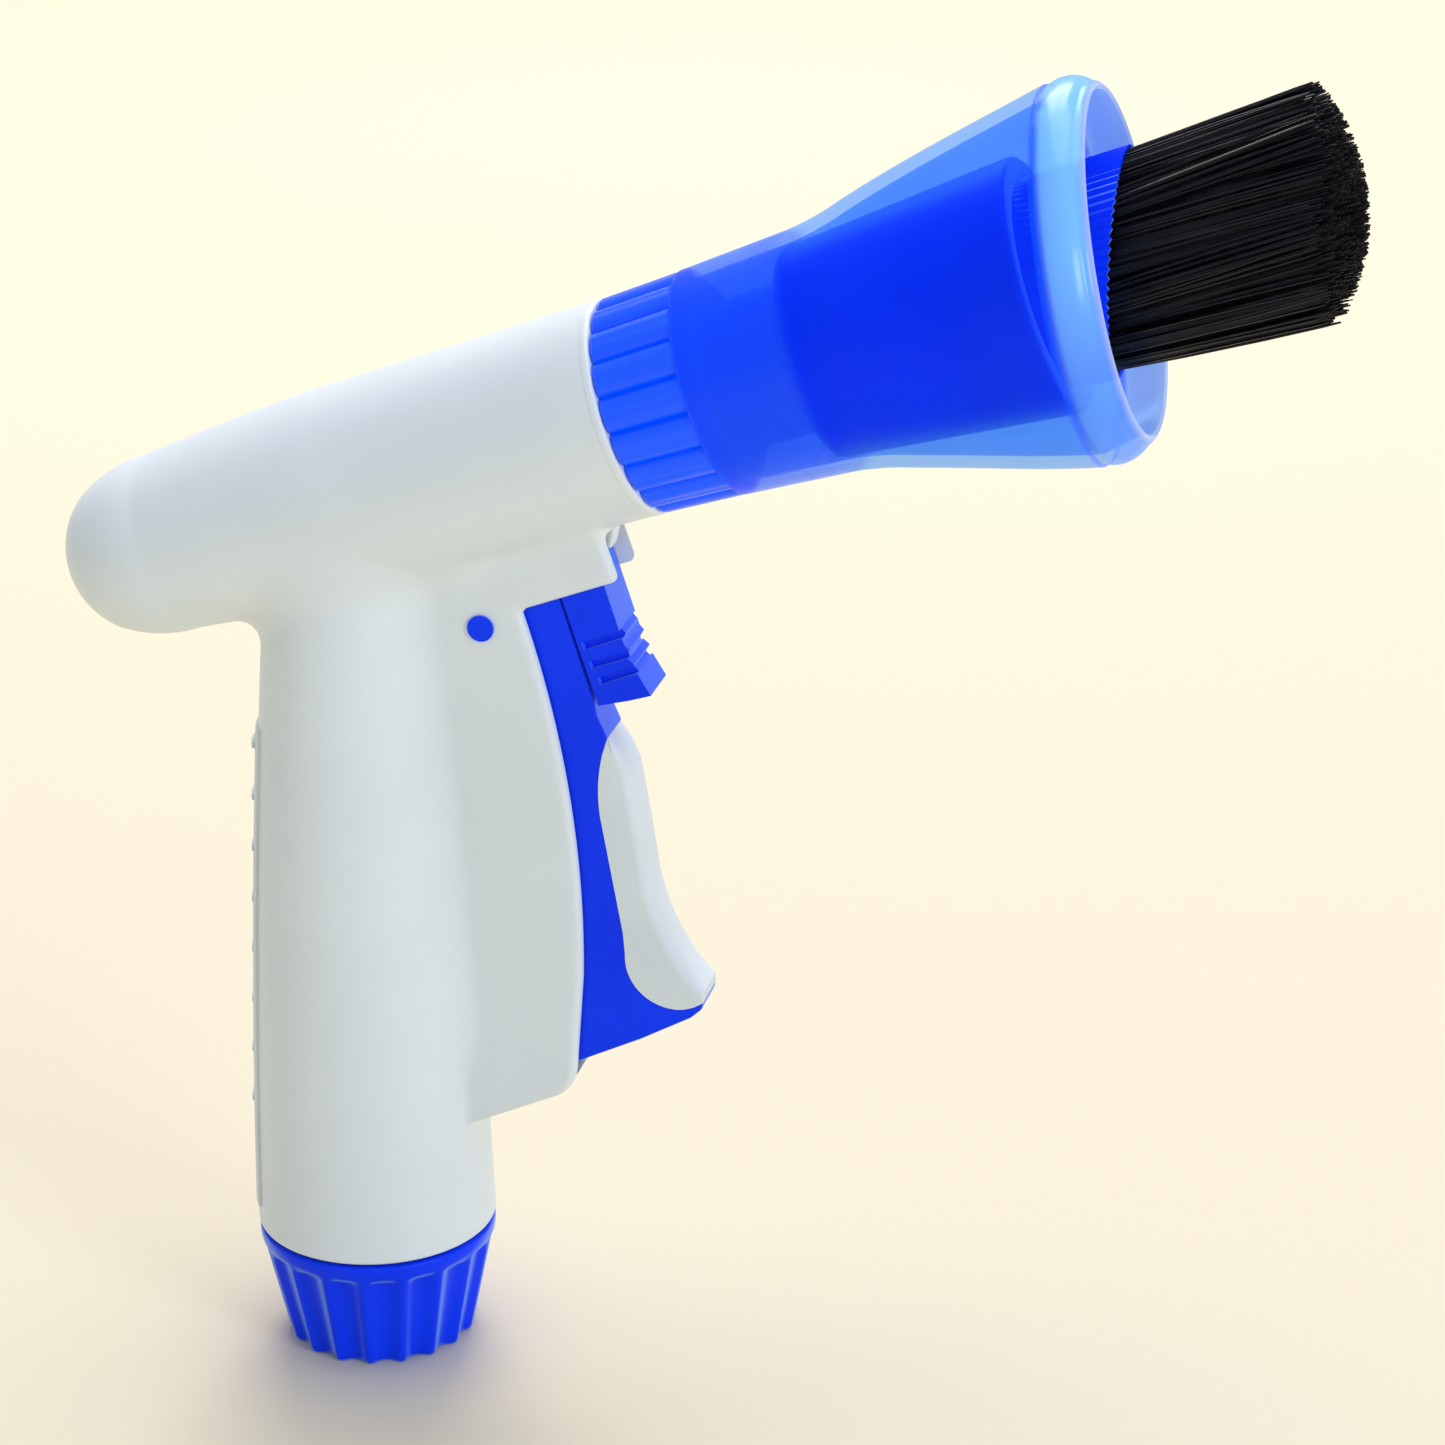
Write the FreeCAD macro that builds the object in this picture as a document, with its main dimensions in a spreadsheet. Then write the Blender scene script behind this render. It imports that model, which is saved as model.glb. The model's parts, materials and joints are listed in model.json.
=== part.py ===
"""Handheld pet bath sprayer: a hose-fed trigger handle with a brush in a clear funnel.

Frame: the origin is the centre of the hose nut's mouth, +Z runs up the handle's axis, +X
points forward, and Y = 0 is the plane of symmetry. The barrel, funnel and brush share one
axis that crosses the handle's axis above the grip and rises forward. Millimetres, degrees.
"""
import FreeCAD, Part
import os
import re
import Sketcher

Vector = FreeCAD.Vector
Rotation = FreeCAD.Rotation
Placement = FreeCAD.Placement

DIMENSIONS = {
    "barrel_tilt": 19.5,
    "barrel_height": 159.8,
    "gap": 0.3,
    "running_gap": 0.05,
    # hose nut
    "nut_height": 22.2,
    "nut_mouth_radius": 17.0,
    "nut_top_radius": 21.3,
    "nut_band": 3.2,
    "thread_radius": 13.0,
    "thread_depth": 8.0,
    "relief_radius": 13.6,
    "web_bottom": 12.1,
    "web_top": 14.8,
    "nut_skirt_radius": 17.8,
    "flute_count": 18,
    "flute_radius": 2.2,
    "flute_depth": 0.9,
    # inlet
    "spigot_radius": 9.5,
    "spigot_bore": 6.5,
    "spigot_top": 40.0,
    "spigot_flange_radius": 12.6,
    "spigot_flange_bottom": 9.9,
    "spigot_flange_top": 11.8,
    "spigot_ring_height": 33.0,
    "washer_radius": 12.8,
    "washer_bore": 7.5,
    "washer_bottom": 8.2,
    "filter_bottom": 8.8,
    "filter_thickness": 0.6,
    "filter_hole": 0.7,
    # handle
    "handle_bottom": 22.8,
    "handle_radius": 21.4,
    "handle_top": 150.0,
    "handle_top_radius": 14.2,
    "handle_curve": 1945.0,
    "handle_bore": 8.0,
    "handle_bore_top": 94.0,
    # soft strip down the back of the handle
    "strip_bottom": 27.0,
    "strip_top": 118.0,
    "strip_angle": 64.0,
    "strip_depth": 1.6,
    "strip_proud": 0.5,
    "strip_bottom_radius": 21.3,
    "strip_top_radius": 16.8,
    "ridge_count": 8,
    "ridge_first": 47.0,
    "ridge_pitch": 9.65,
    "ridge_angle": 44.0,
    # barrel, along its own axis from the point above the handle
    "nose_end": -52.3,
    "nose_flat": 2.5,
    "nose_edge": -46.0,
    "nose_edge_radius": 12.4,
    "nose_back": -33.0,
    "nose_back_radius": 15.6,
    "barrel_radius": 17.9,
    "barrel_front_radius": 18.4,
    "barrel_front": 54.25,
    "barrel_bore": 13.4,
    "neck_radius": 15.0,
    "neck_bore": 11.0,
    "neck_front": 63.0,
    "lug_back": 57.5,
    "lug_front": 61.0,
    "lug_radius": 16.2,
    "lug_angle": 24.0,
    # fin that houses the trigger
    "fin_half": 7.0,
    "fin_inner_half": 5.5,
    "fin_foot_x": 35.2,
    "fin_foot_z": 52.0,
    "fin_toe_x": 40.0,
    "fin_toe_z": 58.0,
    "fin_front_x": 41.5,
    "fin_front_z": 76.0,
    "fin_notch_x": 32.3,
    "fin_notch_z": 142.8,
    "bracket_corner_x": 49.3,
    "bracket_corner_z": 149.1,
    "bracket_top_x": 46.1,
    "bracket_top_z": 158.7,
    # trigger and its pin
    "pin_x": 25.4,
    "pin_z": 139.4,
    "pin_radius": 1.8,
    "pin_head_radius": 2.3,
    "pin_head": 0.5,
    "trigger_half": 4.9,
    "trigger_channel_half": 3.1,
    "eye_radius": 4.6,
    # lock slider on the trigger's nose
    "slider_half": 5.2,
    "tongue_half": 1.7,
    "slot_half": 2.0,
    # cross valve in the handle, along X
    "valve_height": 105.0,
    "chamber_radius": 6.5,
    "guide_radius": 5.0,
    "seat_back": 4.0,
    "seat_front": 6.0,
    "seat_bore": 3.2,
    "stem_radius": 2.0,
    "stem_tip": 29.7,
    "poppet_radius": 5.2,
    "poppet_back": 0.6,
    "poppet_front": 2.6,
    "plug_front": -11.0,
    "plug_back": -14.4,
    "plug_ring_x": -12.7,
    "guide_back": 10.5,
    "guide_front": 16.8,
    "guide_ring_x": 13.3,
    "spring_radius": 3.9,
    "spring_wire": 0.45,
    "spring_turns": 5,
    "inlet_port_x": -4.0,
    "inlet_port_radius": 3.0,
    "outlet_port_x": 8.5,
    "outlet_port_radius": 2.3,
    # clear funnel, along the barrel's axis
    "collar_back": 54.45,
    "collar_front": 68.5,
    "collar_radius": 18.5,
    "collar_front_radius": 19.1,
    "collar_bore": 15.1,
    "collar_groove": 16.6,
    "collar_rib_count": 18,
    "collar_rib_radius": 1.2,
    "slot_angle": 30.0,
    "waist_front": 88.0,
    "waist_radius": 20.3,
    "flare_back": 98.0,
    "flare_back_radius": 22.4,
    "crease": 131.5,
    "crease_radius": 30.6,
    "lip_radius": 31.1,
    "lip_front": 140.0,
    "funnel_wall": 2.2,
    # brush
    "hub_back": 64.3,
    "flange_back": 68.0,
    "flange_front": 71.0,
    "flange_radius": 16.6,
    "hub_neck_radius": 12.5,
    "hub_step": 87.0,
    "hub_step_radius": 17.5,
    "hub_front": 127.0,
    "hub_front_radius": 21.5,
    "hub_bore": 8.0,
    "hub_chamber": 15.0,
    "hub_ring": 66.2,
    "ferrule_back": 121.0,
    "ferrule_radius": 17.2,
    "ferrule_bore": 16.2,
    "ferrule_front": 139.5,
    "ferrule_slope": 6.0,
    "plate_back": 127.5,
    "plate_front": 130.5,
    "plate_hole": 0.8,
    "bristle_root_radius": 16.1,
    "bristle_tip_radius": 18.5,
    "bristle_end": 182.0,
    "dome_radius": 32.7,
    "dome_centre": 147.1,
    "dome_offset": 4.5,
}

doc = FreeCAD.newDocument("BathSprayer")
sheet = doc.addObject("Spreadsheet::Sheet", "dims")
for row, (alias, size) in enumerate(DIMENSIONS.items(), start=1):
    sheet.set(f"A{row}", alias.replace("_", " "))
    sheet.set(f"B{row}", str(size))
    sheet.setAlias(f"B{row}", alias)
doc.recompute()

pieces = []


# ---------------------------------------------------------------- drawing helpers

def cell(expression):
    """Turn words such as nut_height / 2 into an expression on the sheet."""
    return re.sub(r"[A-Za-z_]\w*", lambda word: "dims." + word.group(), str(expression))


def size_of(expression):
    """The number that an expression on the sheet has now."""
    return float(sheet.evalExpression(cell(expression)))


def bind(thing, name, expression):
    """Give a property its size and tie it to the sheet."""
    if isinstance(expression, (int, float)):
        setattr(thing, name, expression)
    else:
        thing.setExpression(name, cell(expression))


def start(label):
    """A new body that becomes one named piece."""
    body = doc.addObject("PartDesign::Body", label)
    body.Label = label
    pieces.append(body)
    return body


def origin_of(body, role):
    """One of the body's own origin planes or axes."""
    return next(item for item in body.Origin.OriginFeatures if item.Role == role)


def sketch_on(body, plane="XZ_Plane", shift=(0, 0, 0), turn=0):
    """A sketch on an origin plane, shifted along the plane's own directions and turned in it."""
    sketch = body.newObject("Sketcher::SketchObject", body.Name + "_sketch")
    sketch.AttachmentSupport = [(origin_of(body, plane), "")]
    sketch.MapMode = "FlatFace"
    sketch.AttachmentOffset = Placement(Vector(), Rotation(Vector(0, 0, 1), size_of(turn)))
    for axis, distance in zip("xyz", shift):
        bind(sketch, f"AttachmentOffset.Base.{axis}", str(distance))
    if turn:
        sketch.setExpression("AttachmentOffset.Rotation.Angle", cell(turn))
    return sketch


def pin_point(sketch, edge, end, x, y):
    """Fix one end of an edge at a place that the sheet gives."""
    for kind, words in (("DistanceX", x), ("DistanceY", y)):
        index = sketch.addConstraint(Sketcher.Constraint(kind, edge, end, size_of(words)))
        if re.search("[A-Za-z]", str(words)):
            sketch.setExpression(f"Constraints[{index}]", cell(words))


def arc_edge(first, last, radius):
    """The shorter arc between two points: a positive radius turns left, a negative one right."""
    chord = last - first
    side = Vector(-chord.y, chord.x, 0).normalize() * (1 if radius > 0 else -1)
    rise = (radius ** 2 - (chord.Length / 2) ** 2) ** 0.5
    centre = first + chord * 0.5 + side * rise
    begin, finish = (first, last) if radius > 0 else (last, first)
    circle = Part.Circle(centre, Vector(0, 0, 1), abs(radius))
    return Part.ArcOfCircle(circle, circle.parameter(begin), circle.parameter(finish))


def draw(sketch, corners):
    """A closed outline. A corner is (x, y), or (x, y, radius) when an arc leads from it on."""
    places = [Vector(size_of(corner[0]), size_of(corner[1]), 0) for corner in corners]
    ends = []
    for index, corner in enumerate(corners):
        here = places[index]
        there = places[(index + 1) % len(corners)]
        bend = size_of(corner[2]) if len(corner) > 2 else 0
        if bend:
            edge = sketch.addGeometry(arc_edge(here, there, bend))
            limit = sketch.addConstraint(Sketcher.Constraint("Radius", edge, abs(bend)))
            if bend and re.search("[A-Za-z]", str(corner[2])):
                sketch.setExpression(f"Constraints[{limit}]", f"abs({cell(corner[2])})")
        else:
            edge = sketch.addGeometry(Part.LineSegment(here, there))
        ends.append((edge, 1, 2) if bend >= 0 else (edge, 2, 1))
    for index, corner in enumerate(corners):
        edge, begin, finish = ends[index]
        pin_point(sketch, edge, begin, corner[0], corner[1])
        after = ends[(index + 1) % len(corners)]
        sketch.addConstraint(Sketcher.Constraint("Coincident", edge, finish, after[0], after[1]))
    return sketch


def draw_circle(sketch, x, y, radius):
    """A circle whose centre and radius come from the sheet."""
    centre = Vector(size_of(x), size_of(y), 0)
    circle = Part.Circle(centre, Vector(0, 0, 1), size_of(radius))
    edge = sketch.addGeometry(circle)
    pin_point(sketch, edge, 3, x, y)
    index = sketch.addConstraint(Sketcher.Constraint("Radius", edge, size_of(radius)))
    if re.search("[A-Za-z]", str(radius)):
        sketch.setExpression(f"Constraints[{index}]", cell(radius))
    return sketch


def settle(body, feature):
    """Recompute and make the feature the body's tip."""
    doc.recompute()
    body.Tip = feature
    return feature


def turn_solid(body, sketch, axis="V_Axis", angle=360, cut=False):
    """Revolve a sketch, or groove with it. A part turn is centred on the sketch's plane."""
    kind = "PartDesign::Groove" if cut else "PartDesign::Revolution"
    feature = body.newObject(kind, body.Name + "_turn")
    feature.Profile = sketch
    feature.ReferenceAxis = (sketch, [axis])
    feature.Midplane = angle != 360
    bind(feature, "Angle", angle)
    return settle(body, feature)


def pad(body, sketch, half):
    """Extrude a sketch to both sides of its plane."""
    feature = body.newObject("PartDesign::Pad", body.Name + "_plate")
    feature.Profile = sketch
    feature.SideType = "Symmetric"
    bind(feature, "Length", f"2 * {half}")
    return settle(body, feature)


def pocket(body, sketch, half):
    """Cut a sketch out to both sides of its plane."""
    before = body.Shape.Volume
    feature = body.newObject("PartDesign::Pocket", body.Name + "_pocket")
    feature.Profile = sketch
    feature.SideType = "Symmetric"
    bind(feature, "Length", f"2 * {half}")
    settle(body, feature)
    if body.Shape.Volume > before - 0.01:
        raise RuntimeError(f"{feature.Name} cuts nothing")
    return feature


def drill(body, x, bottom, height, radius, y=0):
    """A round hole along Z that starts at bottom and runs up through height."""
    before = body.Shape.Volume
    sketch = sketch_on(body, "XY_Plane", (0, 0, bottom))
    draw_circle(sketch, x, y, radius)
    feature = body.newObject("PartDesign::Pocket", body.Name + "_hole")
    feature.Profile = sketch
    feature.Reversed = True
    bind(feature, "Length", height)
    settle(body, feature)
    if body.Shape.Volume > before - 0.01:
        raise RuntimeError(f"{feature.Name} cuts nothing")
    return feature


def around(body, feature, axis, count):
    """Repeat a feature evenly about an axis of the body or of a sketch."""
    pattern = body.newObject("PartDesign::PolarPattern", body.Name + "_ring")
    pattern.Originals = [feature]
    pattern.Axis = axis
    pattern.Angle = 360
    bind(pattern, "Occurrences", count)
    return settle(body, pattern)


def on_barrel(piece):
    """Lay a piece's own Z along the barrel's axis; its own -X then points up."""
    piece.Placement = Placement(Vector(), Rotation(Vector(0, 1, 0), 90))
    piece.setExpression("Placement.Base.z", cell("barrel_height"))
    piece.setExpression("Placement.Rotation.Angle", cell("90 - barrel_tilt"))


def on_valve(piece, along=0):
    """Lay a piece's own Z along the valve's axis, which points forward."""
    piece.Placement = Placement(Vector(), Rotation(Vector(0, 1, 0), 90))
    piece.setExpression("Placement.Base.x", cell(along))
    piece.setExpression("Placement.Base.z", cell("valve_height"))


def turned(label, corners, place=None):
    """A piece of revolution from its (radius, height) outline."""
    body = start(label)
    turn_solid(body, draw(sketch_on(body), corners))
    if place:
        place(body)
    return body


def tube(label, inner, outer, bottom, top, place=None):
    """A plain ring or sleeve."""
    corners = [(inner, bottom), (outer, bottom), (outer, top), (inner, top)]
    return turned(label, corners, place)


def o_ring(label, radius, wire):
    """A rubber ring about its own Z."""
    ring = doc.addObject("Part::Torus", label)
    ring.Label = label
    bind(ring, "Radius1", radius)
    bind(ring, "Radius2", wire)
    pieces.append(ring)
    return ring


# ---------------------------------------------------------------- white body shell

def shell_outside(shell):
    """Handle, barrel and trigger fin, as one moulding."""
    turn_solid(shell, draw(sketch_on(shell), [
        (0, "handle_bottom"),
        ("handle_radius - 0.6", "handle_bottom"),
        ("handle_radius", "handle_bottom + 0.6", "handle_curve"),
        ("handle_top_radius", "handle_top"),
        (0, "handle_top"),
    ]))
    barrel = sketch_on(shell, shift=(0, "barrel_height", 0), turn="barrel_tilt")
    turn_solid(shell, draw(barrel, [
        ("nose_end", 0),
        ("neck_front", 0),
        ("neck_front", "neck_radius"),
        ("barrel_front", "neck_radius"),
        ("barrel_front", "barrel_front_radius"),
        (0, "barrel_radius", 540),
        ("nose_back", "nose_back_radius", 24),
        ("nose_edge", "nose_edge_radius", 15),
        ("nose_end", "nose_flat"),
    ]), axis="H_Axis")
    pad(shell, draw(sketch_on(shell), [
        (10, 40.7),
        ("fin_foot_x", "fin_foot_z", 7),
        ("fin_toe_x", "fin_toe_z"),
        ("fin_front_x", "fin_front_z", 198),
        ("fin_notch_x", "fin_notch_z"),
        ("bracket_corner_x", "bracket_corner_z"),
        ("bracket_top_x", "bracket_top_z"),
        ("bracket_top_x - 2", "bracket_top_z + 8"),
        (10, "barrel_height - 2"),
    ]), "fin_half")


def shell_fin_cavity(shell):
    """The slot that the trigger swings in, and the catch that its lock hooks under."""
    pocket(shell, draw(sketch_on(shell), [
        (20.6, 47.6),
        ("fin_foot_x - 0.2", "fin_foot_z + 2.1"),
        (60, "fin_foot_z + 2.1"),
        (60, 161.7),
        (16.4, 146.3),
        (17.0, "strip_top"),
    ]), "fin_inner_half")
    pad(shell, draw(sketch_on(shell), [
        ("bracket_top_x - 0.2", 152.8),
        ("bracket_top_x + 2.5", 152.8),
        ("bracket_top_x + 2.1", 159.4),
        ("bracket_top_x - 0.6", 159.4),
    ]), 2.5)
    pocket(shell, draw_circle(sketch_on(shell), "pin_x", "pin_z", "pin_radius"), "fin_half + 1")


def shell_waterway(shell):
    """Bores of the handle and barrel, the cross valve's chamber, and the ports between them."""
    turn_solid(shell, draw(sketch_on(shell), [
        (0, "handle_bottom - 1"),
        ("spigot_radius", "handle_bottom - 1"),
        ("spigot_radius", "spigot_top + 0.2"),
        ("handle_bore", "spigot_top + 0.2"),
        ("handle_bore", "handle_bore_top"),
        (0, "handle_bore_top"),
    ]), cut=True)
    turn_solid(shell, draw(sketch_on(shell, shift=(0, "valve_height", 0)), [
        (-20, 0),
        (20, 0),
        (20, "guide_radius"),
        ("seat_front", "guide_radius"),
        ("seat_front", "chamber_radius"),
        (-20, "chamber_radius"),
    ]), axis="H_Axis", cut=True)
    drill(shell, "inlet_port_x", "handle_bore_top - 2", 12, "inlet_port_radius")
    drill(shell, "outlet_port_x", "valve_height", 46, "outlet_port_radius")
    barrel = sketch_on(shell, shift=(0, "barrel_height", 0), turn="barrel_tilt")
    turn_solid(shell, draw(barrel, [
        ("nose_back - 5", 0),
        ("neck_front + 1", 0),
        ("neck_front + 1", "neck_bore"),
        ("barrel_front - 2", "neck_bore"),
        ("barrel_front - 5", "barrel_bore"),
        ("nose_back + 1", "barrel_bore"),
        ("nose_back - 5", "barrel_bore - 5"),
    ]), axis="H_Axis", cut=True)


def strip_outline(inside, outside):
    """Section of the rear strip, between two depths below the handle's surface."""
    return [
        (f"-(strip_bottom_radius - {inside})", "strip_bottom"),
        (f"-(strip_top_radius - {inside})", "strip_top"),
        (f"-(strip_top_radius + {outside})", "strip_top", 1925),
        (f"-(strip_bottom_radius + {outside})", "strip_bottom"),
    ]


def shell_details(shell):
    """Recess for the soft strip, and the three bayonet lugs on the neck."""
    recess = draw(sketch_on(shell), strip_outline("strip_depth", 3))
    turn_solid(shell, recess, angle="strip_angle", cut=True)
    barrel = sketch_on(shell, shift=(0, "barrel_height", 0), turn="barrel_tilt")
    lug = turn_solid(shell, draw(barrel, [
        ("lug_back", "neck_radius - 0.5"),
        ("lug_front", "neck_radius - 0.5"),
        ("lug_front", "lug_radius"),
        ("lug_back", "lug_radius"),
    ]), axis="H_Axis", angle="lug_angle")
    around(shell, lug, (barrel, ["H_Axis"]), 3)


def make_body_shell():
    """The white one-piece moulding."""
    shell = start("body_shell")
    shell_outside(shell)
    shell_fin_cavity(shell)
    shell_waterway(shell)
    shell_details(shell)


def make_rear_grip_strip():
    """Soft strip set into the back of the handle, with eight small ridges across it."""
    strip = start("rear_grip_strip")
    section = strip_outline("strip_depth", "strip_proud")
    turn_solid(strip, draw(sketch_on(strip), section), angle="strip_angle")
    slope = "(strip_bottom_radius - strip_top_radius) / (strip_top - strip_bottom)"
    for number in range(int(DIMENSIONS["ridge_count"])):
        height = f"ridge_first + {number} * ridge_pitch"
        face = f"strip_bottom_radius + strip_proud + 0.1 - ({height} - strip_bottom) * {slope}"
        ridge = draw(sketch_on(strip), [
            (f"-({face} - 0.4)", f"{height} - 0.9"),
            (f"-({face} - 0.4)", f"{height} + 0.9"),
            (f"-({face} + 0.6)", f"{height} + 0.4"),
            (f"-({face} + 0.6)", f"{height} - 0.4"),
        ])
        turn_solid(strip, ridge, angle="ridge_angle")


# ---------------------------------------------------------------- hose end

def make_hose_nut():
    """Swivel nut: tapered and fluted outside, threaded mouth, web that hangs on the spigot."""
    nut = start("hose_nut")
    turn_solid(nut, draw(sketch_on(nut), [
        ("thread_radius", 0),
        ("nut_mouth_radius - 0.6", 0),
        ("nut_mouth_radius", 0.6),
        ("nut_top_radius", "nut_height - nut_band + 1"),
        ("nut_top_radius", "nut_height - 0.6"),
        ("nut_top_radius - 0.6", "nut_height"),
        ("nut_skirt_radius", "nut_height"),
        ("nut_skirt_radius", "web_top"),
        ("spigot_radius + running_gap", "web_top"),
        ("spigot_radius + running_gap", "web_bottom"),
        ("relief_radius", "web_bottom"),
        ("relief_radius", "thread_depth"),
        ("thread_radius", "thread_depth"),
    ]))
    sketch = nut.newObject("Sketcher::SketchObject", "flute_sketch")
    sketch.AttachmentSupport = [(origin_of(nut, "XY_Plane"), "")]
    sketch.MapMode = "FlatFace"
    sketch.AttachmentOffset = Placement(Vector(0, 0, -1), Rotation(Vector(0, 1, 0), 12.1))
    draw_circle(sketch, "nut_mouth_radius + flute_radius - flute_depth", 0, "flute_radius")
    flute = nut.newObject("PartDesign::Pocket", "flute")
    flute.Profile = sketch
    flute.Reversed = True
    bind(flute, "Length", "nut_height - nut_band + 1")
    settle(nut, flute)
    around(nut, flute, (origin_of(nut, "Z_Axis"), [""]), "flute_count")


def make_inlet():
    """Spigot that carries the nut, its seal, and the hose washer with its filter."""
    spigot = turned("inlet_spigot", [
        ("spigot_bore", "spigot_flange_bottom"),
        ("spigot_flange_radius", "spigot_flange_bottom"),
        ("spigot_flange_radius", "spigot_flange_top"),
        ("spigot_radius", "spigot_flange_top"),
        ("spigot_radius", "spigot_top"),
        ("spigot_bore", "spigot_top"),
    ])
    groove = draw(sketch_on(spigot), [
        ("spigot_radius - 1.6", "spigot_ring_height - 1"),
        ("spigot_radius + 1", "spigot_ring_height - 1"),
        ("spigot_radius + 1", "spigot_ring_height + 1"),
        ("spigot_radius - 1.6", "spigot_ring_height + 1"),
    ])
    turn_solid(spigot, groove, cut=True)
    ring = o_ring("spigot_o_ring", "spigot_radius - 0.8", 0.78)
    ring.setExpression("Placement.Base.z", cell("spigot_ring_height"))
    tube("hose_washer", "washer_bore", "washer_radius", "washer_bottom", "spigot_flange_bottom")
    screen = turned("inlet_filter", [
        (0, "filter_bottom"),
        ("washer_bore", "filter_bottom"),
        ("washer_bore", "filter_bottom + filter_thickness"),
        (0, "filter_bottom + filter_thickness"),
    ])
    drill(screen, 0, "filter_bottom - 1", 3, "filter_hole")
    for distance, count in ((2.6, 6), (5.2, 12)):
        hole = drill(screen, distance, "filter_bottom - 1", 3, "filter_hole")
        around(screen, hole, (origin_of(screen, "Z_Axis"), [""]), count)


# ---------------------------------------------------------------- cross valve

def make_valve():
    """Seat, plunger, spring, guide and rear plug, all on the cross valve's axis."""
    tube("valve_seat", "seat_bore", "chamber_radius", "seat_back", "seat_front", on_valve)

    turned("valve_stem", [
        (0, "poppet_back - 1.6"),
        (2.4, "poppet_back - 1.6"),
        (2.4, "poppet_back"),
        ("poppet_radius", "poppet_back"),
        ("poppet_radius", "poppet_front"),
        ("stem_radius", "poppet_front"),
        ("stem_radius", "stem_tip - 1.2", 1.3),
        ("stem_radius - 1.2", "stem_tip"),
        (0, "stem_tip"),
    ], on_valve)
    tube("poppet_seal", "stem_radius", "poppet_radius", "poppet_front", "seat_back - 0.1", on_valve)

    guide = tube("stem_guide", "stem_radius + running_gap", "guide_radius",
                 "guide_back", "guide_front", on_valve)
    groove = draw(sketch_on(guide), [
        (1, "guide_ring_x - 0.7"),
        ("stem_radius + 1.3", "guide_ring_x - 0.7"),
        ("stem_radius + 1.3", "guide_ring_x + 0.7"),
        (1, "guide_ring_x + 0.7"),
    ])
    turn_solid(guide, groove, cut=True)
    on_valve(o_ring("stem_seal", "stem_radius + 0.68", 0.61), "guide_ring_x")

    plug = turned("valve_plug", [
        (0, "plug_back"),
        ("chamber_radius", "plug_back"),
        ("chamber_radius", "plug_front"),
        (2.6, "plug_front"),
        (2.6, "plug_front + 2"),
        (0, "plug_front + 2"),
    ], on_valve)
    groove = draw(sketch_on(plug), [
        ("chamber_radius - 1.4", "plug_ring_x - 0.7"),
        ("chamber_radius + 1", "plug_ring_x - 0.7"),
        ("chamber_radius + 1", "plug_ring_x + 0.7"),
        ("chamber_radius - 1.4", "plug_ring_x + 0.7"),
    ])
    turn_solid(plug, groove, cut=True)
    on_valve(o_ring("plug_o_ring", "chamber_radius - 0.7", 0.69), "plug_ring_x")
    make_valve_spring()


def make_valve_spring():
    """Coil spring that closes the valve and pushes the trigger back out."""
    spring = start("valve_spring")
    wire = draw_circle(sketch_on(spring), "spring_radius", "plug_front + spring_wire",
                       "spring_wire")
    coil = spring.newObject("PartDesign::AdditiveHelix", "coil")
    coil.Profile = wire
    coil.ReferenceAxis = (wire, ["V_Axis"])
    coil.Mode = "height-turns-angle"
    coil.Angle = 0
    bind(coil, "Height", "poppet_back - plug_front - 2 * spring_wire")
    bind(coil, "Turns", "spring_turns")
    settle(spring, coil)
    on_valve(spring)


# ---------------------------------------------------------------- trigger and lock

def pad_boundary(upwards):
    """The line where the trigger frame meets its pad, from the toe to the top or back."""
    steps = [(62.6, 72.6), (58.5, 70.9), (48.8, 80.5), (48.5, 84.5), (45.2, 104.0), (49.0, 126.0)]
    bends = [-9, -9, 0, 0, -31]
    if not upwards:
        steps.reverse()
        bends = [-bend for bend in reversed(bends)]
    outline = [(x, z, bend) for (x, z), bend in zip(steps, bends)]
    return outline + [steps[-1]]


def make_trigger():
    """Trigger frame: pivot eye, channel behind, nose that presses the valve, slot for the lock."""
    trigger = start("trigger")
    pad(trigger, draw(sketch_on(trigger), [
        (36.5, 58.6),
        (39.7, 58.9),
        (51.2, 64.4),
        (60.3, 69.4),
        (62.3, 71.2),
    ] + pad_boundary(upwards=True) + [
        (44.7, 125.9),
        (38.5, 145.3),
        ("pin_x", "pin_z + eye_radius", "eye_radius + 0.01"),
        ("pin_x - eye_radius", "pin_z"),
        (29.5, 122.0),
        (35.0, 104.0),
        (36.5, 75.0),
    ]), "trigger_half")
    pocket(trigger, draw(sketch_on(trigger), [
        (20, 61.2),
        (39.2, 61.4),
        (47.2, 66.0),
        (46.9, 79.0),
        (46.4, 84.0),
        (43.0, 104.0),
        (42.7, 112.5),
        (44.2, 119.5),
        (41.5, 121.5),
        (20, 121.5),
    ]), "trigger_channel_half")
    pad(trigger, draw(sketch_on(trigger), [
        (30, "valve_height - 3"),
        (44, "valve_height - 3"),
        (44, "valve_height + 3"),
        (30, "valve_height + 3"),
    ]), "trigger_channel_half")
    eye = draw_circle(sketch_on(trigger), "pin_x", "pin_z", "pin_radius + running_gap")
    pocket(trigger, eye, "fin_half")
    pocket(trigger, draw(sketch_on(trigger), [
        (41.7, 126.5),
        (44.9, 127.5),
        (38.9, 147.7),
        (35.3, 146.5),
    ]), "slot_half")


def make_trigger_pad():
    """Soft finger pad let into the trigger's front."""
    finger_pad = start("trigger_pad")
    boundary = pad_boundary(upwards=False)
    pad(finger_pad, draw(sketch_on(finger_pad), [
        (62.9, 74.8, -40),
        (53.3, 95.0, 400),
    ] + boundary), "trigger_half")


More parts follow.
